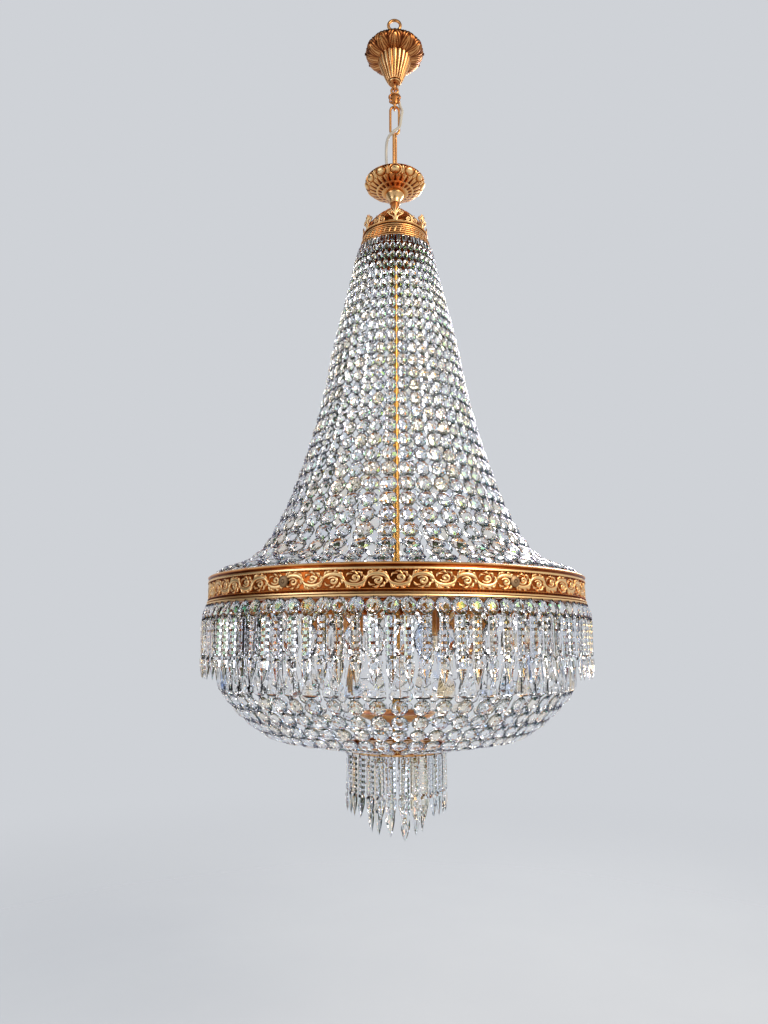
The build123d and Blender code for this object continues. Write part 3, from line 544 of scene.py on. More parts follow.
# Octagon button: a waist of eight corners, star facets, and a small table on
# both sides.
def octagonShape(name, tableWidth, tableLength, ringShare):
    vertices, faces = [], []
    corner = 0.5 / math.cos(math.pi / 8)
    for k in range(8):
        angle = math.pi / 8 + k * math.pi / 4
        vertices.append((corner * math.cos(angle), 0.0, corner * math.sin(angle)))
    ring, wide, tall = ringShare * 0.5, tableWidth * 0.5, tableLength * 0.5
    for side in (1, -1):
        base = len(vertices)
        for k in range(8):
            c, s = math.cos(k * math.pi / 4), math.sin(k * math.pi / 4)
            vertices.append((ring * c * 1.04, side * 0.3, ring * s * 1.04))
        for k in range(8):
            angle = math.pi / 8 + k * math.pi / 4
            vertices.append((wide * math.cos(angle), side * 0.5, tall * math.sin(angle)))
        for k in range(8):
            after = (k + 1) % 8
            faces.append((k, after, base + after))
            faces.append((base + k, k, base + after))
            faces.append((base + 8 + k, base + k, base + after))
            faces.append((base + 8 + k, base + after, base + 8 + after))
        faces.append(tuple(base + 8 + k for k in range(8)))
    # The waist's eight corners carry edge 1, where the crystal material paints shade.
    return shapeObject(name, vertices, outwardFaces(vertices, faces), [1.0] * 8 + [0.0] * 32)


# A stack of sections (level share, width share, depth share) with a number of
# corners, closed at both ends: bars, tips, prisms and baguettes.
def stackedShape(name, sections, corners, twist=0.0):
    vertices, faces = [], []
    for level, width, depth in sections:
        for k in range(corners):
            angle = twist + 2 * math.pi * k / corners
            vertices.append((width * 0.5 * math.cos(angle), depth * 0.5 * math.sin(angle), level))
    faces = gridFaces(len(sections), corners, False, True)
    faces.append(tuple(range(corners)))
    faces.append(tuple((len(sections) - 1) * corners + k for k in range(corners)))
    return shapeObject(name, vertices, outwardFaces(vertices, faces))


octagon = octagonShape("octagonShape", 0.42, 0.42, 0.78)
longOctagon = octagonShape("longOctagonShape", 0.36, 0.62, 0.8)
baguette = stackedShape(
    "baguetteShape", [(-0.5, 0.55, 0.4), (-0.38, 1.0, 1.0), (0.38, 1.0, 1.0), (0.5, 0.55, 0.4)],
    8, math.pi / 8,
)


# A bar with cross cuts down its length, a wider shoulder and a faceted tip.
def spearShape(name, barShare, cuts):
    sections = [(0.5, 0.45, 0.4), (0.49, 0.8, 0.8)]
    for k in range(cuts):
        top = 0.485 - k * (barShare - 0.03) / cuts
        foot = 0.485 - (k + 0.55) * (barShare - 0.03) / cuts
        sections += [(top, 0.88, 0.86), (foot, 0.94, 0.95)]
    shoulder = 0.5 - barShare
    sections += [(shoulder + 0.012, 0.62, 0.6), (shoulder - 0.03, 1.04, 1.0)]
    sections += [(shoulder - 0.13, 1.0, 0.92), (shoulder - 0.25, 0.6, 0.5), (-0.5, 0.03, 0.03)]
    return stackedShape(name, sections[::-1], 8, math.pi / 8)


fringeSpear = spearShape("fringeSpearShape", 0.633, 6)
bottomSpear = spearShape("bottomSpearShape", 0.65, 7)
prism = stackedShape("prismShape", [
    (-0.5, 0.55, 0.5), (-0.44, 1.0, 0.9), (-0.3, 0.96, 1.0), (0.05, 0.66, 0.72),
    (0.33, 0.4, 0.5), (0.42, 0.46, 0.55), (0.5, 0.25, 0.3),
], 6, math.pi / 6)
pin = stackedShape("pinShape", [
    (-0.5, 0.3, 0.3), (-0.36, 1.0, 1.0), (0.0, 0.4, 0.5), (0.36, 1.0, 1.0), (0.5, 0.3, 0.3),
], 5)
print("shapes made")

# The tent: 42 strings of graded octagons from the crown to the ring.
tentShares = [
    (0.154, 0.0855), (0.3115, 0.1758), (0.463, 0.2447), (0.611, 0.335), (0.7568, 0.4537),
    (0.826, 0.525), (0.897, 0.615), (0.9495, 0.715), (0.981, 0.855),
]
tentTop = (57.0, -432.75)
tentFoot = (268.0, -972.75)
tentFall = (tentFoot[0] - tentTop[0], tentFoot[1] - tentTop[1])
tentKeys = [tentTop]
for drop, spread in tentShares:
    tentKeys.append((tentTop[0] + spread * tentFall[0], tentTop[1] + drop * tentFall[1]))
tentKeys.append(tentFoot)
tentCurve = np.array(curveThrough(tentKeys, 20))
tentRun = np.concatenate([[0], np.cumsum(np.linalg.norm(np.diff(tentCurve, axis=0), axis=1))])


def tentAt(distance):
    return tuple(np.interp(distance, tentRun, tentCurve[:, k]) for k in (0, 1))


tentFirst, tentLast, baguetteLength = 17.3, 28.0, 15.0
# Gap between neighbouring crystals, and a pin's reach to each side of a joint.
gemGap, pinReach = 0.3, 2.6
octagonRun = tentRun[-1] - baguetteLength
tentRows = round(math.log(tentLast / tentFirst) / ((tentLast - tentFirst) / octagonRun))
tentPlaces, tentPins, baguettePlaces = [], [], []
for index in range(strings):
    angle = 2 * math.pi * index / strings
    baguettePlaces.append(laidGem(tentAt(0.2), tentAt(baguetteLength - gemGap), angle, 6.4, 4.4))
    for row in range(tentRows):
        ends = []
        for step in (row, row + 1):
            grown = (tentLast / tentFirst) ** (step / tentRows)
            ends.append(baguetteLength + octagonRun * (grown - 1) / (tentLast / tentFirst - 1))
        size = ends[1] - ends[0]
        radius = tentAt((ends[0] + ends[1]) / 2)[0]
        width = min(size * 0.92, 2 * radius * math.sin(math.pi / strings) - gemGap)
        upper, lower = tentAt(ends[0] + 0.15), tentAt(ends[1] - 0.15)
        tentPlaces.append(laidGem(upper, lower, angle, width, size * 0.34, 0.35))
        tentPins.append(laidGem(
            tentAt(max(ends[0] - pinReach, 0.0)), tentAt(ends[0] + pinReach), angle, 1.5, 1.5, 2.3,
        ))
print("tent rows", tentRows)
scattered({
    "name": "tentCrystals", "material": leadCrystal, "replaces": ["tent_strings"], "tilt": 6.0,
    "seed": 3,
}, octagon, tentPlaces)
scattered({
    "name": "tentBaguetteCrystals", "material": leadCrystal, "replaces": ["tent_baguettes"],
    "tilt": 6.0, "seed": 4,
}, baguette, baguettePlaces)

# The fringe under the ring. "gem" is a crystal's width, its depth, and how far
# it stands off its string as a share of the depth.
fringeOctagons = {
    "name": "fringeOctagonCrystals", "material": leadCrystal, "replaces": ["fringe_octagons"],
    "tilt": 7.0, "seed": 5, "gem": (18.6, 6.6, 0.2),
}
fringeSpears = {
    "name": "fringeSpearCrystals", "material": leadCrystal, "replaces": ["fringe_spears"],
    "tilt": 8.0, "seed": 6, "gem": (12.4, 7.4, 0.0),
}
fringeTop, fringeFoot = (276.3, -1013.65), (281.3, -1034.15)
spearTop, spearFoot = (281.3, -1034.45), (281.3, -1113.3)
fringePinEnds = [((281.1, -1032.2), (281.4, -1037.2)), ((276.4, -1013.0), (277.6, -1017.0))]
fringePlaces, spearPlaces, fringePins = [], [], []
for index in range(fringeCount):
    angle = 2 * math.pi * (index + 0.5) / fringeCount
    fringePlaces.append(laidGem(fringeTop, fringeFoot, angle, *fringeOctagons["gem"]))
    spearPlaces.append(laidGem(spearTop, spearFoot, angle, *fringeSpears["gem"]))
    for upper, lower in fringePinEnds:
        fringePins.append(laidGem(upper, lower, angle, 1.6, 1.6, 1.6))
scattered(fringeOctagons, octagon, fringePlaces)
scattered(fringeSpears, fringeSpear, spearPlaces)

# The basket: octagon, oval, flared prism, then four rows of octagons.
basketOctagons = {
    "name": "basketOctagonCrystals", "material": leadCrystal, "replaces": ["basket_octagons"],
    "tilt": 5.0, "seed": 7, "gem": (21.5, 7.0, 0.3),
}
basketOvals = {
    "name": "basketOvalCrystals", "material": prismCrystal, "replaces": ["basket_ovals"],
    "tilt": 5.0, "seed": 8, "gem": (21.0, 8.0, 0.3),
}
basketPrisms = {
    "name": "basketPrismCrystals", "material": prismCrystal, "replaces": ["basket_prisms"],
    "tilt": 4.0, "seed": 9, "gem": (25.5, 9.0, 0.35),
}
basketRows = {
    "name": "basketRowCrystals", "material": leadCrystal, "replaces": ["basket_lower_strings"],
    "tilt": 6.0, "seed": 10, "gem": (19.2, 6.4, 0.35),
}
leanAngle = math.atan2(10.0, 116.0)
basketFall = np.array([-math.sin(leanAngle), -math.cos(leanAngle)])
basketTop = np.array([261.5, -1013.65])
ovalTop = basketTop + basketFall * 30.0
prismTop = ovalTop + basketFall * 37.0
prismFoot = prismTop + basketFall * 49.0
rowEnds = [prismFoot]
for slope in (52.0, 45.5, 39.0, 32.5):
    step = np.array([-math.cos(math.radians(slope)), -math.sin(math.radians(slope))])
    rowEnds.append(rowEnds[-1] + step * 24.0)
basketKinds = [
    (basketOctagons, longOctagon, basketTop, ovalTop),
    (basketOvals, longOctagon, ovalTop, prismTop),
    (basketPrisms, prism, prismTop, prismFoot),
]
rowPlaces, basketPins = [], []
rowWidth, rowDepth, rowLift = basketRows["gem"]
for index in range(basketCount):
    angle = 2 * math.pi * index / basketCount
    for place in (ovalTop, prismTop, prismFoot):
        ends = (place - basketFall * pinReach, place + basketFall * pinReach)
        basketPins.append(laidGem(*ends, angle, 1.7, 1.7, 1.6))
    for upper, lower in zip(rowEnds, rowEnds[1:]):
        width = min(rowWidth, (upper[0] + lower[0]) * math.sin(math.pi / basketCount) - gemGap)
        run = (lower - upper) / np.linalg.norm(lower - upper)
        rowPlaces.append(laidGem(upper, lower - run * gemGap, angle, width, rowDepth, rowLift))
        ends = (lower - run * pinReach, lower + run * pinReach)
        basketPins.append(laidGem(*ends, angle, 1.6, 1.6, 1.6))
for spec, shape, upper, lower in basketKinds:
    scattered(spec, shape, [
        laidGem(upper, lower - basketFall * gemGap, 2 * math.pi * k / basketCount, *spec["gem"])
        for k in range(basketCount)
    ])
scattered(basketRows, octagon, rowPlaces)

# Strings from the foot of the basket in to the bottom ring.
underStrings = {
    "name": "underCrystals", "material": leadCrystal, "replaces": ["under_strings"], "tilt": 5.0,
    "seed": 11, "gem": (16.2, 5.6, 0.35), "rows": 5,
}
underTop, underFoot = rowEnds[-1], np.array([74.25, -1211.9])
underWidth, underDepth, underLift = underStrings["gem"]
underRows = underStrings["rows"]
underPlaces = []
for index in range(underCount):
    angle = 2 * math.pi * index / underCount
    for row in range(underRows):
        upper = underTop + (underFoot - underTop) * row / underRows
        lower = underTop + (underFoot - underTop) * (row + 1) / underRows
        run = (lower - upper) / np.linalg.norm(lower - upper)
        width = min(underWidth, (upper[0] + lower[0]) * math.sin(math.pi / underCount) * 0.62)
        underPlaces.append(
            laidGem(upper, lower - run * gemGap, angle, width, underDepth, underLift)
        )
scattered(underStrings, octagon, underPlaces)

# Two tiers of spears under the bottom ring.
outerSpears = {
    "name": "bottomOuterCrystals", "material": leadCrystal, "replaces": ["bottom_spears_outer"],
    "tilt": 8.0, "seed": 12, "gem": (13.4, 7.6, 0.0),
}
innerOctagons = {
    "name": "bottomInnerOctagonCrystals", "material": leadCrystal,
    "replaces": ["bottom_octagons_inner"], "tilt": 6.0, "seed": 13, "gem": (17.2, 6.4, 0.3),
}
innerSpears = {
    "name": "bottomInnerCrystals", "material": leadCrystal, "replaces": ["bottom_spears_inner"],
    "tilt": 8.0, "seed": 14, "gem": (13.4, 7.6, 0.0),
}
outerCircle, innerCircle = 70.0, 38.0
outerAngles = [2 * math.pi * (k + 0.5) / outerSpearCount for k in range(outerSpearCount)]
innerAngles = [math.radians(15 + 360 / innerSpearCount * k) for k in range(innerSpearCount)]


# Equal crystals between two levels of an upright circle.
def circleOf(radius, levels, angles, gem):
    return [laidGem((radius, levels[0]), (radius, levels[1]), angle, *gem) for angle in angles]


for spec, shape, radius, levels, angles in (
    (outerSpears, bottomSpear, outerCircle, (-1218.65, -1301.5), outerAngles),
    (innerOctagons, octagon, innerCircle, (-1212.65, -1236.65), innerAngles),
    (innerSpears, bottomSpear, innerCircle, (-1236.95, -1329.8), innerAngles),
):
    scattered(spec, shape, circleOf(radius, levels, angles, spec["gem"]))
tierPin = (1.7, 1.7, 2.2)
bottomPins = circleOf(outerCircle, (-1216.5, -1221.6), outerAngles, tierPin)
bottomPins += circleOf(innerCircle, (-1234.5, -1239.4), innerAngles, tierPin)
scattered({
    "name": "crystalPins", "material": pinBronze, "seed": 15,
}, pin, tentPins + fringePins + basketPins + bottomPins)
print("crystals laid")


def metalPiece(spec, forms):
    vertices, faces, heights = merged(forms)
    piece = finishMesh(spec, vertices, faces, heights)
    print(spec["name"], len(faces), "faces")
    return settle(piece, spec)


# Rows of (radius, level, relief) turned about the axis.
def turnedRows(rows, columns, centre=(0.0, 0.0)):
    return spun(
        [row[:2] for row in rows], columns, None, lambda angle, row: rows[row][2], centre,
    )


# The main ring: mouldings, running scroll, beads and rosettes.
ringRows = [
    (265.5, -973.0, 0.3), (276.5, -973.0, 0.5), (278.0, -974.2, 0.9), (277.2, -975.8, 0.3),
    (275.6, -977.0, 0.0), (275.8, -978.2, 0.3), (277.4, -979.3, 1.0), (277.7, -981.0, 1.0),
    (276.6, -982.2, 0.4), (275.2, -983.0, 0.22), (275.2, -993.0, 0.22), (275.2, -1003.2, 0.22),
    (276.6, -1003.9, 0.7), (276.4, -1004.8, 0.3), (275.6, -1006.0, 0.0), (276.6, -1007.0, 0.6),
    (278.4, -1007.9, 1.0), (278.4, -1009.2, 1.0), (276.8, -1009.9, 0.1), (278.5, -1010.6, 1.0),
    (279.0, -1012.2, 1.0), (278.0, -1013.4, 0.5), (258.5, -1013.4, 0.4), (258.5, -1010.4, 0.3),
    (273.0, -1010.4, 0.2), (273.0, -976.0, 0.2), (265.5, -976.0, 0.2),
]
friezeRadius, friezeLevel, friezeUnits = 275.2, -993.1, 33
friezePeriod = 2 * math.pi * friezeRadius / friezeUnits
onFrieze = onDrum(friezeRadius, friezeLevel)
friezeForms = []
for half in (0, 1):
    sign = 1 if half == 0 else -1
    middle = friezePeriod * (0.25 + 0.5 * half)
    reach = friezePeriod / 4
    stem = []
    for k in range(13):
        swell = math.pi * k / 12
        stem.append((middle - reach * math.cos(swell), sign * 7.6 * math.sin(swell) - sign))
    friezeForms.append(stroke(stem, [1.2, 2.7, 3.0, 1.7], 2.1, onFrieze))
    curl = [
        (middle + 0.6 + x * 1.1, y * 0.86 - sign * 1.8)
        for x, y in spiral((0, 0), 6.6, 1.4, sign * 150, -sign * 470, 18)
    ]
    friezeForms.append(stroke(curl, [1.2, 2.1, 1.9, 2.2], 2.1, onFrieze))
    # Acanthus lobes that lean along the scroll, outside and inside it.
    lobes = [
        ((-reach * 0.86, 2.0), (-9.0, 8.6), (-5.4, 9.6), 2.2),
        ((-reach * 0.5, 6.0), (-5.4, 9.8), (-1.0, 9.4), 2.0),
        ((0.0, 7.0), (3.6, 9.9), (7.4, 8.6), 2.0),
        ((5.0, 5.4), (9.4, 7.6), (12.4, 4.2), 2.3),
        ((9.0, 1.0), (12.0, -2.4), (9.4, -5.4), 2.1),
        ((8.4, -3.0), (7.6, -7.4), (3.0, -8.8), 2.4),
        ((3.6, -6.0), (-0.6, -9.2), (-5.4, -8.4), 2.0),
        ((-2.6, -6.4), (-8.0, -6.4), (-10.2, -2.6), 1.9),
    ]
    for root, bend, tip, width in lobes:
        curve = [(middle + u, sign * v) for u, v in (root, bend, tip)]
        friezeForms.append(
            stroke(curveThrough(curve, 4), [0.9, width * 0.95, 0.5], 1.9, onFrieze, 5)
        )
scrollForm = merged(friezeForms)
metalPiece({
    "name": "mainRing", "material": giltPressing, "replaces": ["main_ring"],
}, [turnedRows(ringRows, 264)])
metalPiece({
    "name": "ringScrollwork", "material": giltPressing, "sharp": 80,
}, [around(scrollForm, friezeUnits)])

ball = stackedShape("ballShape", [
    (-0.5, 0.1, 0.1), (-0.3, 0.8, 0.8), (0.0, 1.0, 1.0), (0.3, 0.8, 0.8), (0.5, 0.1, 0.1),
], 6)
beadPlaces = []
for index in range(4 * fringeCount):
    angle = 2 * math.pi * index / (4 * fringeCount)
    for level in (-982.3, -1005.4):
        beadPlaces.append(laidGem((276.6, level + 0.8), (276.6, level - 0.8), angle, 1.9, 1.9, 0.0))
scattered({
    "name": "ringBeads", "slot": "gilt_pressing", "material": castBrass, "seed": 21,
}, ball, beadPlaces)

rosetteRows = [
    (0.1, 1.7, 0.55), (1.6, 1.7, 0.5), (2.0, 1.2, 0.1), (2.8, 1.8, 0.55), (5.2, 1.5, 0.6),
    (6.9, 0.6, 0.45), (7.1, -1.8, 0.0), (0.1, -1.8, 0.2),
]


# A form turned about its own z axis, set to face outwards from the axis.
def facing(form, angle, radius, level):
    vertices, faces, heights = form
    c, s = math.cos(angle), math.sin(angle)
    return [
        ((radius + z) * c - x * s, (radius + z) * s + x * c, level + y) for x, y, z in vertices
    ], faces, heights


metalPiece({"name": "ringRosettes", "material": screwBronze, "replaces": ["ring_screws"]}, [
    facing(turnedRows(rosetteRows, 20), math.radians(-60 + 60 * k), 277.0, -993.2)
    for k in range(sixfold)
])

# The crown: reeded band, pierced crest and ribbed dome.
reedRows = [(47.0, -405.0, 0.3), (53.6, -405.0, 0.6), (53.9, -406.6, 0.9), (53.0, -408.0, 0.2)]
for k in range(31):
    share = k / 30
    ridge = abs(math.sin(math.pi * share * 6))
    reedRows.append((51.2 + 6.4 * share + 0.9 * ridge, -408.0 - 24.5 * share, ridge ** 1.5))
reedRows += [(55.6, -432.5, 0.2), (48.0, -408.0, 0.2)]
tongues = []
for k in range(strings):
    angle = 2 * math.pi * (k + 0.5) / strings

    def onBand(u, v, h, angle=angle):
        radius = 52.4 + 5.4 * (-408.0 - v) / 24.5 + h
        return radius * math.cos(angle + u / radius), radius * math.sin(angle + u / radius), v
    tongueCurve = curveThrough([(-1.6, -426.0), (-0.4, -421.0), (1.6, -417.0)], 3)
    tongues.append(stroke(tongueCurve, [0.7, 1.5, 0.4], 1.6, onBand, 5))
metalPiece({
    "name": "crownBand", "material": giltPressing, "replaces": ["crown_ring"],
}, [turnedRows(reedRows, 126), merged(tongues)])

onCrest = onDrum(51.9, crownTop)
palmetteForms = [
    stroke([(0, 0.4), (0, 5), (0, 10), (0, 14)], [4.2, 2.6, 2.0, 1.2], 1.4, onCrest),
    stroke([(-11.5, 1.0), (0, 1.3), (11.5, 1.0)], [0.8, 1.3, 0.8], 1.1, onCrest),
]
for lean, length in ((-38, 13.5), (-19, 15.2), (0, 16.0), (19, 15.2), (38, 13.5)):
    tip = (length * math.sin(math.radians(lean)), 9.5 + length * math.cos(math.radians(lean)))
    middle = (tip[0] * 0.35, 9.5 + (tip[1] - 9.5) * 0.5)
    palmetteForms.append(
        stroke(curveThrough([(0, 8.5), middle, tip], 4), [0.7, 1.6, 0.5], 1.4, onCrest)
    )
voluteStem = curveThrough([(1.6, 1.0), (3.4, 7.0), (8.0, 10.0), (11.8, 13.5)], 4)
volute = spiral((8.6, 14.6), 3.9, 1.0, -20, 420, 14)
for curve, widths in ((voluteStem, [1.8, 1.3, 1.1]), (volute, [1.1, 1.1, 0.8])):
    palmetteForms += strokePair(curve, widths, 1.3, onCrest)
metalPiece({
    "name": "crestPalmettes", "material": giltPressing, "replaces": ["crown_palmettes"],
    "sharp": 80,
}, [around(merged(palmetteForms), sixfold, -90)])
scrollForms = [stroke([(-10.5, 0.8), (0, 1.1), (10.5, 0.8)], [0.7, 1.1, 0.7], 1.1, onCrest)]
for curve, widths in (
    (spiral((5.6, 5.4), 4.6, 1.2, -90, 470, 16), [1.0, 1.3, 0.9]),
    (curveThrough([(1.0, 1.5), (0.6, 7.0), (2.6, 12.0), (5.4, 13.6)], 4), [0.9, 1.3, 0.5]),
):
    scrollForms += strokePair(curve, widths, 1.3, onCrest)
metalPiece({
    "name": "crestScrolls", "material": giltPressing, "replaces": ["crown_scrolls"], "sharp": 80,
}, [around(merged(scrollForms), sixfold, -60)])

domeCurve = curveThrough([(50, -405), (46, -393), (32, -375.2), (20, -363.6), (10.5, -357)], 6)
domeRows = [(r, z, 0.3) for r, z in domeCurve] + [(bore, -357, 0.3)]
domeInside = [(bore, -359.5), (18.2, -365), (29.8, -376), (43.6, -393.4), (47.5, -405)]
domeRows += [(r, z, 0.2) for r, z in domeInside]
domeRibs = 12
ribForms = []
for k in range(domeRibs):
    angle = 2 * math.pi * k / domeRibs
    path = [(r * math.cos(angle), r * math.sin(angle), z) for r, z in domeCurve[:-3]]
    ribForms.append(tube(path, [1.9 - 1.1 * i / len(path) for i in range(len(path))], 6, False))
    arch = []
    for i in range(13):
        share = math.sin(math.pi * i / 12)
        r, z = domeCurve[2 + round(share * 13)]
        turn = angle + math.radians(3 + 24 * i / 12)
        arch.append((r * math.cos(turn), r * math.sin(turn), z))
    ribForms.append(tube(arch, 1.0, 6, False))
metalPiece({
    "name": "crownDome", "material": giltPressing, "replaces": ["crown_dome"],
}, [turnedRows(domeRows, 72), merged(ribForms)])

# The gallery cup: twelve eggs and darts over a row of leaves and a keyed band.
cupCurve = curveThrough([
    (19, -325), (28, -321.6), (38, -317.4), (45.5, -312.6), (48.6, -307.6), (47.8, -303.6),
    (45.6, -301),
], 9)
cupRun = np.concatenate(
    [[0], np.cumsum(np.linalg.norm(np.diff(np.array(cupCurve), axis=0), axis=1))]
)
cupRows = len(cupCurve)
cupEggs = 12
eggHalfWidth, eggHalfHeight, eggAlong, eggRaised = 7.4, 6.6, 0.74, 2.4


def cupForm(angle, row):
    if row >= cupRows:
        return -0.4, 0.25
    along = cupRun[row] / cupRun[-1]
    radius = cupCurve[row][0]
    phase = (angle * cupEggs / (2 * math.pi) + 0.5) % 1 - 0.5
    across = phase * 2 * math.pi * radius / cupEggs
    rise = (cupRun[row] - cupRun[-1] * eggAlong) / eggHalfHeight
    inside = 1 - (across / eggHalfWidth) ** 2 - rise ** 2
    if inside > 0:
        return eggRaised * math.sqrt(inside), 0.55 + 0.45 * inside
    if along > 0.56:
        dart = max(0.0, 1 - (abs(abs(phase) - 0.5) * 2 * math.pi * radius / cupEggs / 2.4) ** 2)
        away = math.sqrt((across / eggHalfWidth) ** 2 + rise ** 2)
        collar = max(0.0, 1 - ((away - 1.35) / 0.16) ** 2)
        crest = max(dart, collar)
        lip = 1.0 if along > 0.96 else 0.0
        return 1.5 * max(crest, lip), 0.1 + 0.8 * max(crest, lip)
    if along > 0.28:
        rise = (along - 0.28) / 0.28
        leaf = (angle * 24 / (2 * math.pi)) % 1 - 0.5
        cover = 1 - (leaf / (0.12 + 0.36 * math.sqrt(rise))) ** 2
        vein = 0.35 if abs(leaf) < 0.06 else 0.0
        return (1.3 * math.sqrt(cover), 0.3 + 0.6 * cover - vein) if cover > 0 else (-0.3, 0.0)
    key = max(0.0, math.cos(angle * 20)) ** 0.3
    band = 1.0 if along < 0.06 or 0.22 < along else 0.0
    return 1.1 * max(key, band), 0.1 + 0.7 * max(key * 0.9, band)


cupInside = [
    (43.5, -301.4), (45.2, -306), (41.5, -312.4), (33, -318), (16, -321.8), (bore, -322),
    (bore, -325),
]
metalPiece({"name": "galleryCup", "material": giltPressing, "replaces": ["gallery_cup"]}, [spun(
    [tuple(p) for p in cupCurve] + cupInside, 360,
    lambda angle, row: cupForm(angle, row)[0] if row < cupRows else 0.0,
    lambda angle, row: cupForm(angle, row)[1],
)])
knobCurve = curveThrough([
    (14.6, -325.1), (14.9, -327.8), (12.4, -331.8), (9.8, -336.4), (9, -341),
], 5)
knobRows = [(r, z, 0.85) for r, z in knobCurve]
metalPiece({
    "name": "neckKnob", "material": castBrass, "replaces": ["neck_knob"],
}, [turnedRows(knobRows + [(bore, -341, 0.3), (bore, -325.1, 0.3)], 48)])
neckRows = [
    (9, -341, 0.8), (9.0, -343, 0.9), (7.6, -344.4, 0.3), (7.4, -350, 0.6), (8.0, -353.6, 0.8),
    (9.0, -357, 0.5),
]
metalPiece({
    "name": "neckSleeve", "material": castBrass, "replaces": ["neck_sleeve"],
}, [turnedRows(neckRows + [(bore, -357, 0.3), (bore, -341, 0.3)], 48)])

# The canopy: fluted shell, acanthus rim and knobs.
shellCurve = curveThrough([(12.5, -112), (16.4, -104), (20.0, -95), (25.5, -82), (29.5, -68)], 7)
shellInside = [(26.8, -68), (22.8, -82), (17.2, -95), (13.2, -104), (9.9, -112)]


def shellFlute(angle):
    return abs(math.cos(10 * angle)) ** 0.7


metalPiece({
    "name": "canopyShell", "body": "canopy", "slot": "gilt_pressing", "material": castBrass,
    "replaces": ["canopy_shell"],
}, [spun(
    [tuple(p) for p in shellCurve] + shellInside, 360,
    lambda angle, row: -1.9 * (1 - shellFlute(angle)) if row < len(shellCurve) else 0.0,
    lambda angle, row: 0.1 + 0.8 * shellFlute(angle) if row < len(shellCurve) else 0.1,
)])
rimCurve = curveThrough([
    (27, -70), (33, -69.4), (40, -68.2), (46, -65), (49.6, -60), (50.4, -55), (48.6, -50.4),
    (45, -48),
], 5)
rimInside = [(42.6, -49), (43.8, -54), (42.6, -60), (38, -64), (27, -66.4)]
rimCount = len(rimCurve)
rimLobes = 12


def rimLeaf(angle, row):
    along = row / (rimCount - 1)
    phase = (angle * rimLobes / (2 * math.pi) + 0.5) % 1 - 0.5
    vein = 0.5 + 0.5 * math.cos(2 * math.pi * (5 * abs(phase) + 3.2 * along))
    rib = max(0.0, 1 - (phase / 0.07) ** 2)
    cleft = max(0.0, 1 - ((0.5 - abs(phase)) / 0.09) ** 2)
    return max(0.0, max(vein * 0.75, rib) - cleft)


metalPiece({
    "name": "canopyRim", "body": "canopy", "slot": "gilt_pressing", "material": castBrass,
    "replaces": ["canopy_leaf_rim"],
}, [spun(
    [tuple(p) for p in rimCurve] + rimInside, 288,
    lambda angle, row: 1.7 * rimLeaf(angle, row) - 1.6 if row < rimCount else 0.0,
    lambda angle, row: 0.1 + 0.75 * rimLeaf(angle, row) if row < rimCount else 0.1,
)])
knobPlaces = [
    laidGem((50.6, -55.2), (50.6, -60.0), 2 * math.pi * k / rimLobes, 4.6, 2.6, 0.0)
    for k in range(rimLobes)
]
scattered({
    "name": "rimKnobs", "body": "canopy", "material": castBrass, "replaces": ["canopy_knobs"],
    "seed": 22,
}, ball, knobPlaces)

# The stem and its eye, the collar, the links, the leaf and the terminal block.
eyeRing = [
    (10.5 * math.cos(a), 0.0, 10.5 * math.sin(a))
    for a in np.linspace(0, 2 * math.pi, 48, endpoint=False)
]
metalPiece({
    "name": "hangingEye", "body": "suspension", "material": castBrass, "replaces": ["hanging_eye"],
}, [
    tube(eyeRing, 2.5, 14, True),
    tube([(0, 0, z) for z in (-11.5, -13, -16, -60, -116.5)], [4.2, 3.6, 3.0, 3.0, 3.0], 16, False),
])
collarRows = [
    (3.1, -112, 0.3), (8.5, -112, 0.5), (10.6, -112.8, 0.9), (11, -114, 1.0), (10.2, -115.2, 0.7),
    (8.4, -115.6, 0.2), (7.8, -116.5, 0.6), (3.1, -116.5, 0.3),
]
metalPiece({
    "name": "stemCollar", "body": "suspension", "material": castBrass,
    "replaces": ["canopy_collar"],
}, [turnedRows(collarRows, 48)])


# A round wire bent to an upright oval whose plane is turned about Z.
def wireOval(top, length, width, wire, turn, steps=12):
    radius = (width - wire) / 2
    middle = top - width / 2
    points = [
        (radius * math.cos(math.pi * k / steps), middle + radius * math.sin(math.pi * k / steps))
        for k in range(steps + 1)
    ]
    points += [(-u, 2 * (top - length / 2) - v) for u, v in points]
    c, s = math.cos(math.radians(turn)), math.sin(math.radians(turn))
    return tube([(u * c, u * s, v) for u, v in points], wire / 2, 12, True)


links = [
    {"name": "stemLoop", "body": "suspension", "replaces": ["stem_loop"],
     "oval": (-116.5, 14.5, 14.4, 4.0, 90)},
    {"name": "upperOvalLink", "body": "upper_oval", "replaces": ["oval_link_upper"],
     "oval": (-158.5, 57.0, 19.0, 4.2, 0)},
    {"name": "lowerOvalLink", "body": "lower_oval", "replaces": ["oval_link_lower"],
     "oval": (-206.5, 75.5, 23.0, 4.2, 78)},
    {"name": "topLoop", "replaces": ["top_loop"], "oval": (-273.0, 26.0, 17.0, 4.2, 168)},
]
for link in links:
    metalPiece({**link, "material": castBrass}, [wireOval(*link["oval"])])


def onLeaf(u, v, h):
    return u, h, v


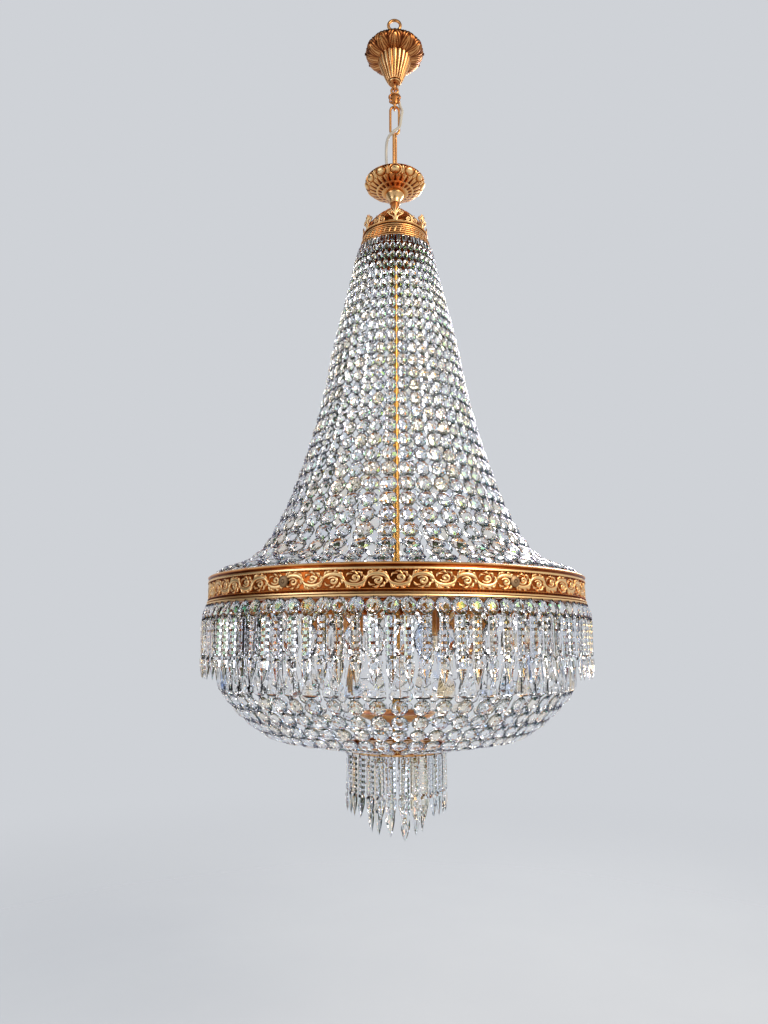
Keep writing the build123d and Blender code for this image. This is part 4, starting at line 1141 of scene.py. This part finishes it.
leafForms = [
    wireOval(-122.3, 15.0, 15.0, 4.0, 0),
    wireOval(-152.3, 15.0, 15.0, 4.0, 90),
    stroke(
        [(0, -133.6), (0, -138), (0, -142), (0, -146), (0, -151), (0, -156)],
        [3.4, 6.0, 7.2, 5.4, 6.0, 3.2], 2.4, onLeaf, 8,
    ),
]
leafScroll = curveThrough(
    [(1.5, -134.8), (6.5, -136.6), (9.2, -141.2), (7.6, -145.6), (4.2, -145.2), (4.4, -142.4)], 4,
)
leafFoot = curveThrough(
    [(3.2, -144.6), (7.6, -147.6), (7.8, -151.4), (4.6, -153.4), (1.6, -155)], 4,
)
for curve, widths in ((leafScroll, [1.4, 1.8, 1.1]), (leafFoot, [1.2, 1.6, 1.2])):
    leafForms += strokePair(curve, widths, 1.9, onLeaf)
metalPiece({
    "name": "leafLink", "body": "leaf", "material": castBrass, "replaces": ["leaf_link"],
    "sharp": 80,
}, leafForms)


# A moulded block with rounded edges, from stacked rounded squares.
def roundedBlock(low, high, edge):
    arc = [(1, 0.4), (0.8, 0.8), (0.4, 1)]
    rows = []
    for level, inset in ((low[2], edge), (low[2] + edge, 0), (high[2] - edge, 0), (high[2], edge)):
        row = []
        for sx, sy in ((1, 1), (-1, 1), (-1, -1), (1, -1)):
            for bx, by in (arc if sx * sy > 0 else arc[::-1]):
                x = (high[0] if sx > 0 else low[0]) - sx * (inset + edge * (1 - bx))
                y = (high[1] if sy > 0 else low[1]) - sy * (inset + edge * (1 - by))
                row.append((x, y, level))
        rows.append(row)
    vertices = [vertex for row in rows for vertex in row]
    faces = gridFaces(4, 12, False, True) + [tuple(range(12)), tuple(36 + k for k in range(12))]
    return vertices, faces, [0.5] * len(vertices)


metalPiece({
    "name": "terminalBlock", "body": "suspension", "material": whitePlastic,
    "replaces": ["terminal_block"], "sharp": 60,
}, [roundedBlock((-9, near, -34), (9, far, -15), 1.2) for near, far in ((-8.5, -0.4), (0.4, 8.5))])
terminalRows = [
    (0.1, 0.3, 0.6), (1.5, 0.3, 0.8), (1.8, -0.2, 0.4), (1.8, -1.5, 0.2), (0.1, -1.5, 0.2),
]
metalPiece({"name": "terminalScrews", "body": "suspension", "material": castBrass}, [
    facing(turnedRows(terminalRows, 12), turn, 8.5, level)
    for turn in (-math.pi / 2, math.pi / 2) for level in (-20, -29)
])

# The supply cable: spans laid across the joints they pass.
cableRoute = [
    (5.2, 3.4, -34), (5.2, 3.4, -118.5), (5.6, 6.4, -133.9), (9.8, 6.2, -157.3),
    (13.6, 0.4, -167.5), (11.2, -3.0, -181.0), (9.4, -3.6, -199.5), (5.6, -12.6, -211.5),
    (-3.0, -16.2, -220.5), (-13.0, -11.5, -229.5), (-15.0, -1.0, -245.5), (-13.8, 3.0, -276.0),
    (-13.0, 3.0, -321.75),
]
cableCurve = bpy.data.curves.new("cableRoute", "CURVE")
cableCurve.dimensions = "3D"
cableCurve.resolution_u = 10
cableSpline = cableCurve.splines.new("NURBS")
cableSpline.points.add(len(cableRoute) - 1)
for point, place in zip(cableSpline.points, cableRoute):
    point.co = (*place, 1.0)
cableSpline.order_u = 3
cableSpline.use_endpoint_u = True
cableObject = bpy.data.objects.new("cableRoute", cableCurve)
cableMesh = bpy.data.meshes.new_from_object(cableObject)
cableLine = [np.array(vertex.co) for vertex in cableMesh.vertices]
bpy.data.objects.remove(cableObject)
cableSpans = [
    {"name": "cableStem", "body": "suspension", "node": "cable_stem"},
    {"name": "cableLeaf", "bodies": ("suspension", "leaf"), "node": "cable_leaf"},
    {"name": "cableUpper", "bodies": ("leaf", "upper_oval"), "node": "cable_upper"},
    {"name": "cableLower", "bodies": ("upper_oval", "lower_oval"), "node": "cable_lower"},
    {"name": "cableInlet", "bodies": ("lower_oval", "chandelier"), "node": "cable_inlet"},
]
# The spans meet at the middles of these runs of the route.
cableEnds = [0]
for run in (1, 3, 6, 10):
    meeting = (np.array(cableRoute[run]) + np.array(cableRoute[run + 1])) / 2
    gaps = [np.linalg.norm(point - meeting) for point in cableLine]
    cableEnds.append(int(np.argmin(gaps)))
cableEnds.append(len(cableLine) - 1)
for span, first, last in zip(cableSpans, cableEnds, cableEnds[1:]):
    line = cableLine[first:last + 1]
    spec = {
        "name": span["name"], "material": cableJacket, "replaces": [span["node"]],
    }
    if "bodies" in span:
        spec["blend"] = (*span["bodies"], tuple(line[0] * mm), tuple(line[-1] * mm))
    else:
        spec["body"] = span["body"]
    metalPiece(spec, [tube(line, 2.35, 12, False)])
print("canopy, chain and cable made")

# Arms and lamp holders inside the ring.
armPath = curveThrough([
    (30.2, -984.2), (60, -972.6), (100, -964.6), (143, -962.4), (190, -967.5), (235, -979),
    (271.8, -993.2),
], 4)
armWidths = [4.0 if k % 4 else 4.3 for k in range(len(armPath))]
armForms = [tube([(r, 0.0, z) for r, z in armPath], armWidths, 10, False)]
metalPiece({
    "name": "archedArms", "material": castBrass, "replaces": ["arched_arms"],
}, [around(merged(armForms), sixfold, -60)])
lampCupRows = [
    (1.0, -971.3, 0.5), (6.0, -971.6, 0.7), (7.5, -974.5, 0.4), (11.5, -978, 0.7),
    (14.8, -984, 0.9), (15, -986, 1.0), (14.2, -988, 0.4), (14.6, -991.1, 0.7), (1.0, -991.1, 0.2),
]
sleeveRows = [
    (12.2, -991.3, 0.5), (13, -993, 0.8), (12.4, -995, 0.4), (12.4, -1046, 0.7), (13, -1049, 0.9),
    (12.6, -1053.1, 0.6), (7.1, -1053.1, 0.2), (7.1, -1031.2, 0.1), (1.0, -1031.2, 0.1),
    (1.0, -991.3, 0.1),
]
lampCircle = 130
lampAngles = [math.radians(-60 + 60 * k) for k in range(sixfold)]
lampCentres = [(lampCircle * math.cos(a), lampCircle * math.sin(a)) for a in lampAngles]
metalPiece({
    "name": "lampCups", "material": castBrass, "replaces": ["lamp_cups"],
}, [turnedRows(lampCupRows, 32, centre) for centre in lampCentres])
metalPiece({
    "name": "lampSleeves", "slot": "gilt_pressing", "material": castBrass,
    "replaces": ["lamp_sleeves"],
}, [turnedRows(sleeveRows, 32, centre) for centre in lampCentres])

# The bottom: dish, nut, ring with its leaf edge, finial and pendant.
dishCurve = curveThrough(
    [(17.4, -1178.4), (33, -1177.0), (45.2, -1173.9), (54, -1169.6), (58, -1165.6)], 5,
)
dishRows = [(r, z, 0.75) for r, z in dishCurve] + [
    (56, -1165.4, 0.9), (50, -1169, 0.4), (36, -1173.6, 0.4), (14, -1175.9, 0.3),
    (bore, -1175.9, 0.3), (bore, -1178.4, 0.3),
]
metalPiece({
    "name": "lowerDish", "material": giltPressing, "replaces": ["lower_dish"],
}, [turnedRows(dishRows, 90)])
nutRows = [
    (10.4, -1178.5, 0.6), (11, -1179.6, 0.8), (8.6, -1185.6, 0.7), (7.7, -1186.4, 0.4),
    (bore, -1186.4, 0.2), (bore, -1178.5, 0.2),
]
metalPiece({
    "name": "dishNut", "material": castBrass, "replaces": ["dish_nut"],
}, [turnedRows(nutRows, 6)])
baseRows = [
    (67.2, -1208.4, 0.3), (73.2, -1208.4, 0.6), (74, -1209.4, 0.9), (72.4, -1211.0, 0.1),
    (71.6, -1213.4, 0.05), (72.4, -1215.6, 0.3), (73.4, -1216.8, 0.9), (72.6, -1218.4, 0.6),
    (67.2, -1218.4, 0.2),
]
onBase = onDrum(71.8, -1213.2)
baseLeaf = [
    stroke(curveThrough([(-3.6, -1.6), (0, 2.2), (3.6, -1.6)], 4), [0.5, 0.9, 0.5], 1.5, onBase, 5),
    stroke([(0, -1.8), (0, 0), (0, 1.4)], [0.5, 1.1, 0.3], 1.5, onBase, 5),
]
metalPiece({
    "name": "bottomRing", "material": giltPressing, "replaces": ["bottom_ring"],
}, [turnedRows(baseRows, 168), around(merged(baseLeaf), 56)])
finialRows = [
    (7.5, -1216.5, 0.5), (5.2, -1219.2, 0.2), (7.8, -1222.2, 0.9), (7.4, -1224.4, 0.9),
    (3.8, -1227, 0.6), (2.0, -1228.3, 0.7), (0.2, -1228.4, 0.7), (0.2, -1216.5, 0.2),
]
metalPiece({
    "name": "tubeFinial", "material": castBrass, "replaces": ["finial"],
}, [turnedRows(finialRows, 32)])
hookPath = curveThrough([
    (12, 7.2, -1212.5), (12, 7.2, -1222), (12, 7.2, -1231), (12, 6.0, -1234), (12, 2, -1234.4),
    (12, -6, -1234.4),
], 5)
clipPath = curveThrough([
    (12, 6, -1256.3), (12, 6, -1250.4), (12, 5, -1248.6), (12, 0, -1248.4), (12, -5, -1248.6),
    (12, -6, -1250.4), (12, -6, -1256.3),
], 5)
pendantWire = 1.15
metalPiece({
    "name": "pendantHook", "material": castBrass, "replaces": ["pendant_pin"],
}, [tube(hookPath, pendantWire, 8, False)])
metalPiece({
    "name": "pendantClip", "body": "drop_spear", "material": castBrass,
    "replaces": ["pendant_clip"],
}, [tube(clipPath, pendantWire, 8, False)])


def hangingGem(top, foot, width, depth):
    return (12.0, 0.0, (top + foot) / 2), (0.0, 0.0, 0.0), (
        width * mm, depth * mm, (top - foot) * mm,
    )


scattered({
    "name": "pendantOctagon", "body": "drop_octagon", "material": leadCrystal,
    "replaces": ["pendant_octagon"], "seed": 31,
}, octagon, [hangingGem(-1231.4, -1251.4, 20.0, 8.0)])
scattered({
    "name": "pendantSpear", "body": "drop_spear", "material": leadCrystal,
    "replaces": ["pendant_spear"], "seed": 32,
}, bottomSpear, [hangingGem(-1256.4, -1344.4, 15.4, 11.0)])
for node, material in (
    ("centre_tube", platedTube), ("arms_hub", plainGilt), ("bottom_spider", plainGilt),
):
    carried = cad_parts[node]
    carried.data.materials.clear()
    carried.data.materials.append(material)
print("metal made")


# A plain pale studio.
def stagePanel(name, corners, material, seen=True):
    mesh = bpy.data.meshes.new(name)
    mesh.from_pydata(corners, [], [(0, 1, 2, 3)])
    mesh.materials.append(material)
    panel = bpy.data.objects.new(name, mesh)
    scene.collection.objects.link(panel)
    if not seen:
        panel.visible_camera = False
        panel.visible_diffuse = False
        panel.visible_shadow = False


# Floor paint: pale grey with slow drifts of tone; it thins out with distance
# from the chandelier, so no hard line is left against the backdrop.
floorPaint, tree, output, place = newMaterial("floor paint")
floorTone = ramp(tree, noise(tree, place, 3.0, 3.0), [(0.3, "#E2E4E7"), (0.7, "#E8EAEC")])
shader = addNode(tree, "ShaderNodeBsdfPrincipled", {"Base Color": floorTone}, Roughness=0.9)
clear = addNode(tree, "ShaderNodeBsdfTransparent")
reach = addNode(tree, "ShaderNodeVectorMath", {0: place}, operation="LENGTH")
faded = addNode(
    tree, "ShaderNodeMapRange", {"Value": reach.outputs["Value"]},
    interpolation_type="SMOOTHSTEP", **{"From Min": 0.5, "From Max": 3.2},
)
blended = addNode(
    tree, "ShaderNodeMixShader", {0: faded.outputs[0], 1: shader.outputs[0], 2: clear.outputs[0]},
)
tree.links.new(blended.outputs[0], output.inputs["Surface"])
stagePanel("floor", [(-6, -6, -1.75), (6, -6, -1.75), (6, 6, -1.75), (-6, 6, -1.75)], floorPaint)
# Dark cards on the left, in front and overhead, seen only in reflections and
# through the crystals, draw the facets' edges.
cardPaint, tree, output, place = newMaterial("dark card")
cardTone = ramp(tree, noise(tree, place, 3.0, 3.0), [(0.3, "#17181B"), (0.7, "#1D1E22")])
surfaced(tree, output, {"Base Color": cardTone}, Roughness=0.9)
cards = [
    ("cardLeft", [(-2.4, -1.5, -1.7), (-2.4, 1.2, -1.7), (-2.4, 1.2, 0.9), (-2.4, -1.5, 0.9)]),
    ("cardFront", [(-1.5, -2.6, -1.7), (0.9, -2.6, -1.7), (0.9, -2.6, 0.2), (-1.5, -2.6, 0.2)]),
    ("cardTop", [(-1.2, -1.2, 1.3), (1.2, -1.2, 1.3), (1.2, 1.2, 1.3), (-1.2, 1.2, 1.3)]),
]
for name, corners in cards:
    stagePanel(name, corners, cardPaint, False)

world = bpy.data.worlds.new("studio")
scene.world = world
world.use_nodes = True
worldTree = world.node_tree
worldTree.nodes.clear()
rays = addNode(worldTree, "ShaderNodeLightPath").outputs
seen = rays["Is Camera Ray"]
for kind in ("Is Glossy Ray", "Is Transmission Ray"):
    either = addNode(worldTree, "ShaderNodeMath", {0: seen, 1: rays[kind]}, operation="MAXIMUM")
    seen = either.outputs[0]
ambient = addNode(worldTree, "ShaderNodeBackground", Color=linear("#E6E9EF"), Strength=0.45)
backdrop = addNode(worldTree, "ShaderNodeBackground", Color=linear("#CFD2D7"), Strength=1.0)
mixed = addNode(
    worldTree, "ShaderNodeMixShader",
    {0: seen, 1: ambient.outputs[0], 2: backdrop.outputs[0]},
)
addNode(worldTree, "ShaderNodeOutputWorld", {"Surface": mixed.outputs[0]})

lampSpecs = [
    {"name": "keyLamp", "place": (1.6, -1.7, 0.3), "size": 1.1, "power": 42.0, "tint": "#FFF3E2"},
    {"name": "fillLamp", "place": (-1.8, -1.2, -0.5), "size": 0.9, "power": 12.0,
     "tint": "#E9F0FF"},
    {"name": "rimLamp", "place": (0.9, 1.7, 0.1), "size": 0.9, "power": 22.0, "tint": "#FFFFFF"},
]
for spec in lampSpecs:
    light = bpy.data.lights.new(spec["name"], "AREA")
    light.size = spec["size"]
    light.energy = spec["power"]
    light.color = linear(spec["tint"])[:3]
    lamp = bpy.data.objects.new(spec["name"], light)
    lamp.location = spec["place"]
    aim = Vector((0, 0, -0.9)) - Vector(spec["place"])
    lamp.rotation_euler = aim.to_track_quat("-Z", "Y").to_euler()
    scene.collection.objects.link(lamp)
    lamp.visible_camera = False
print("studio made")
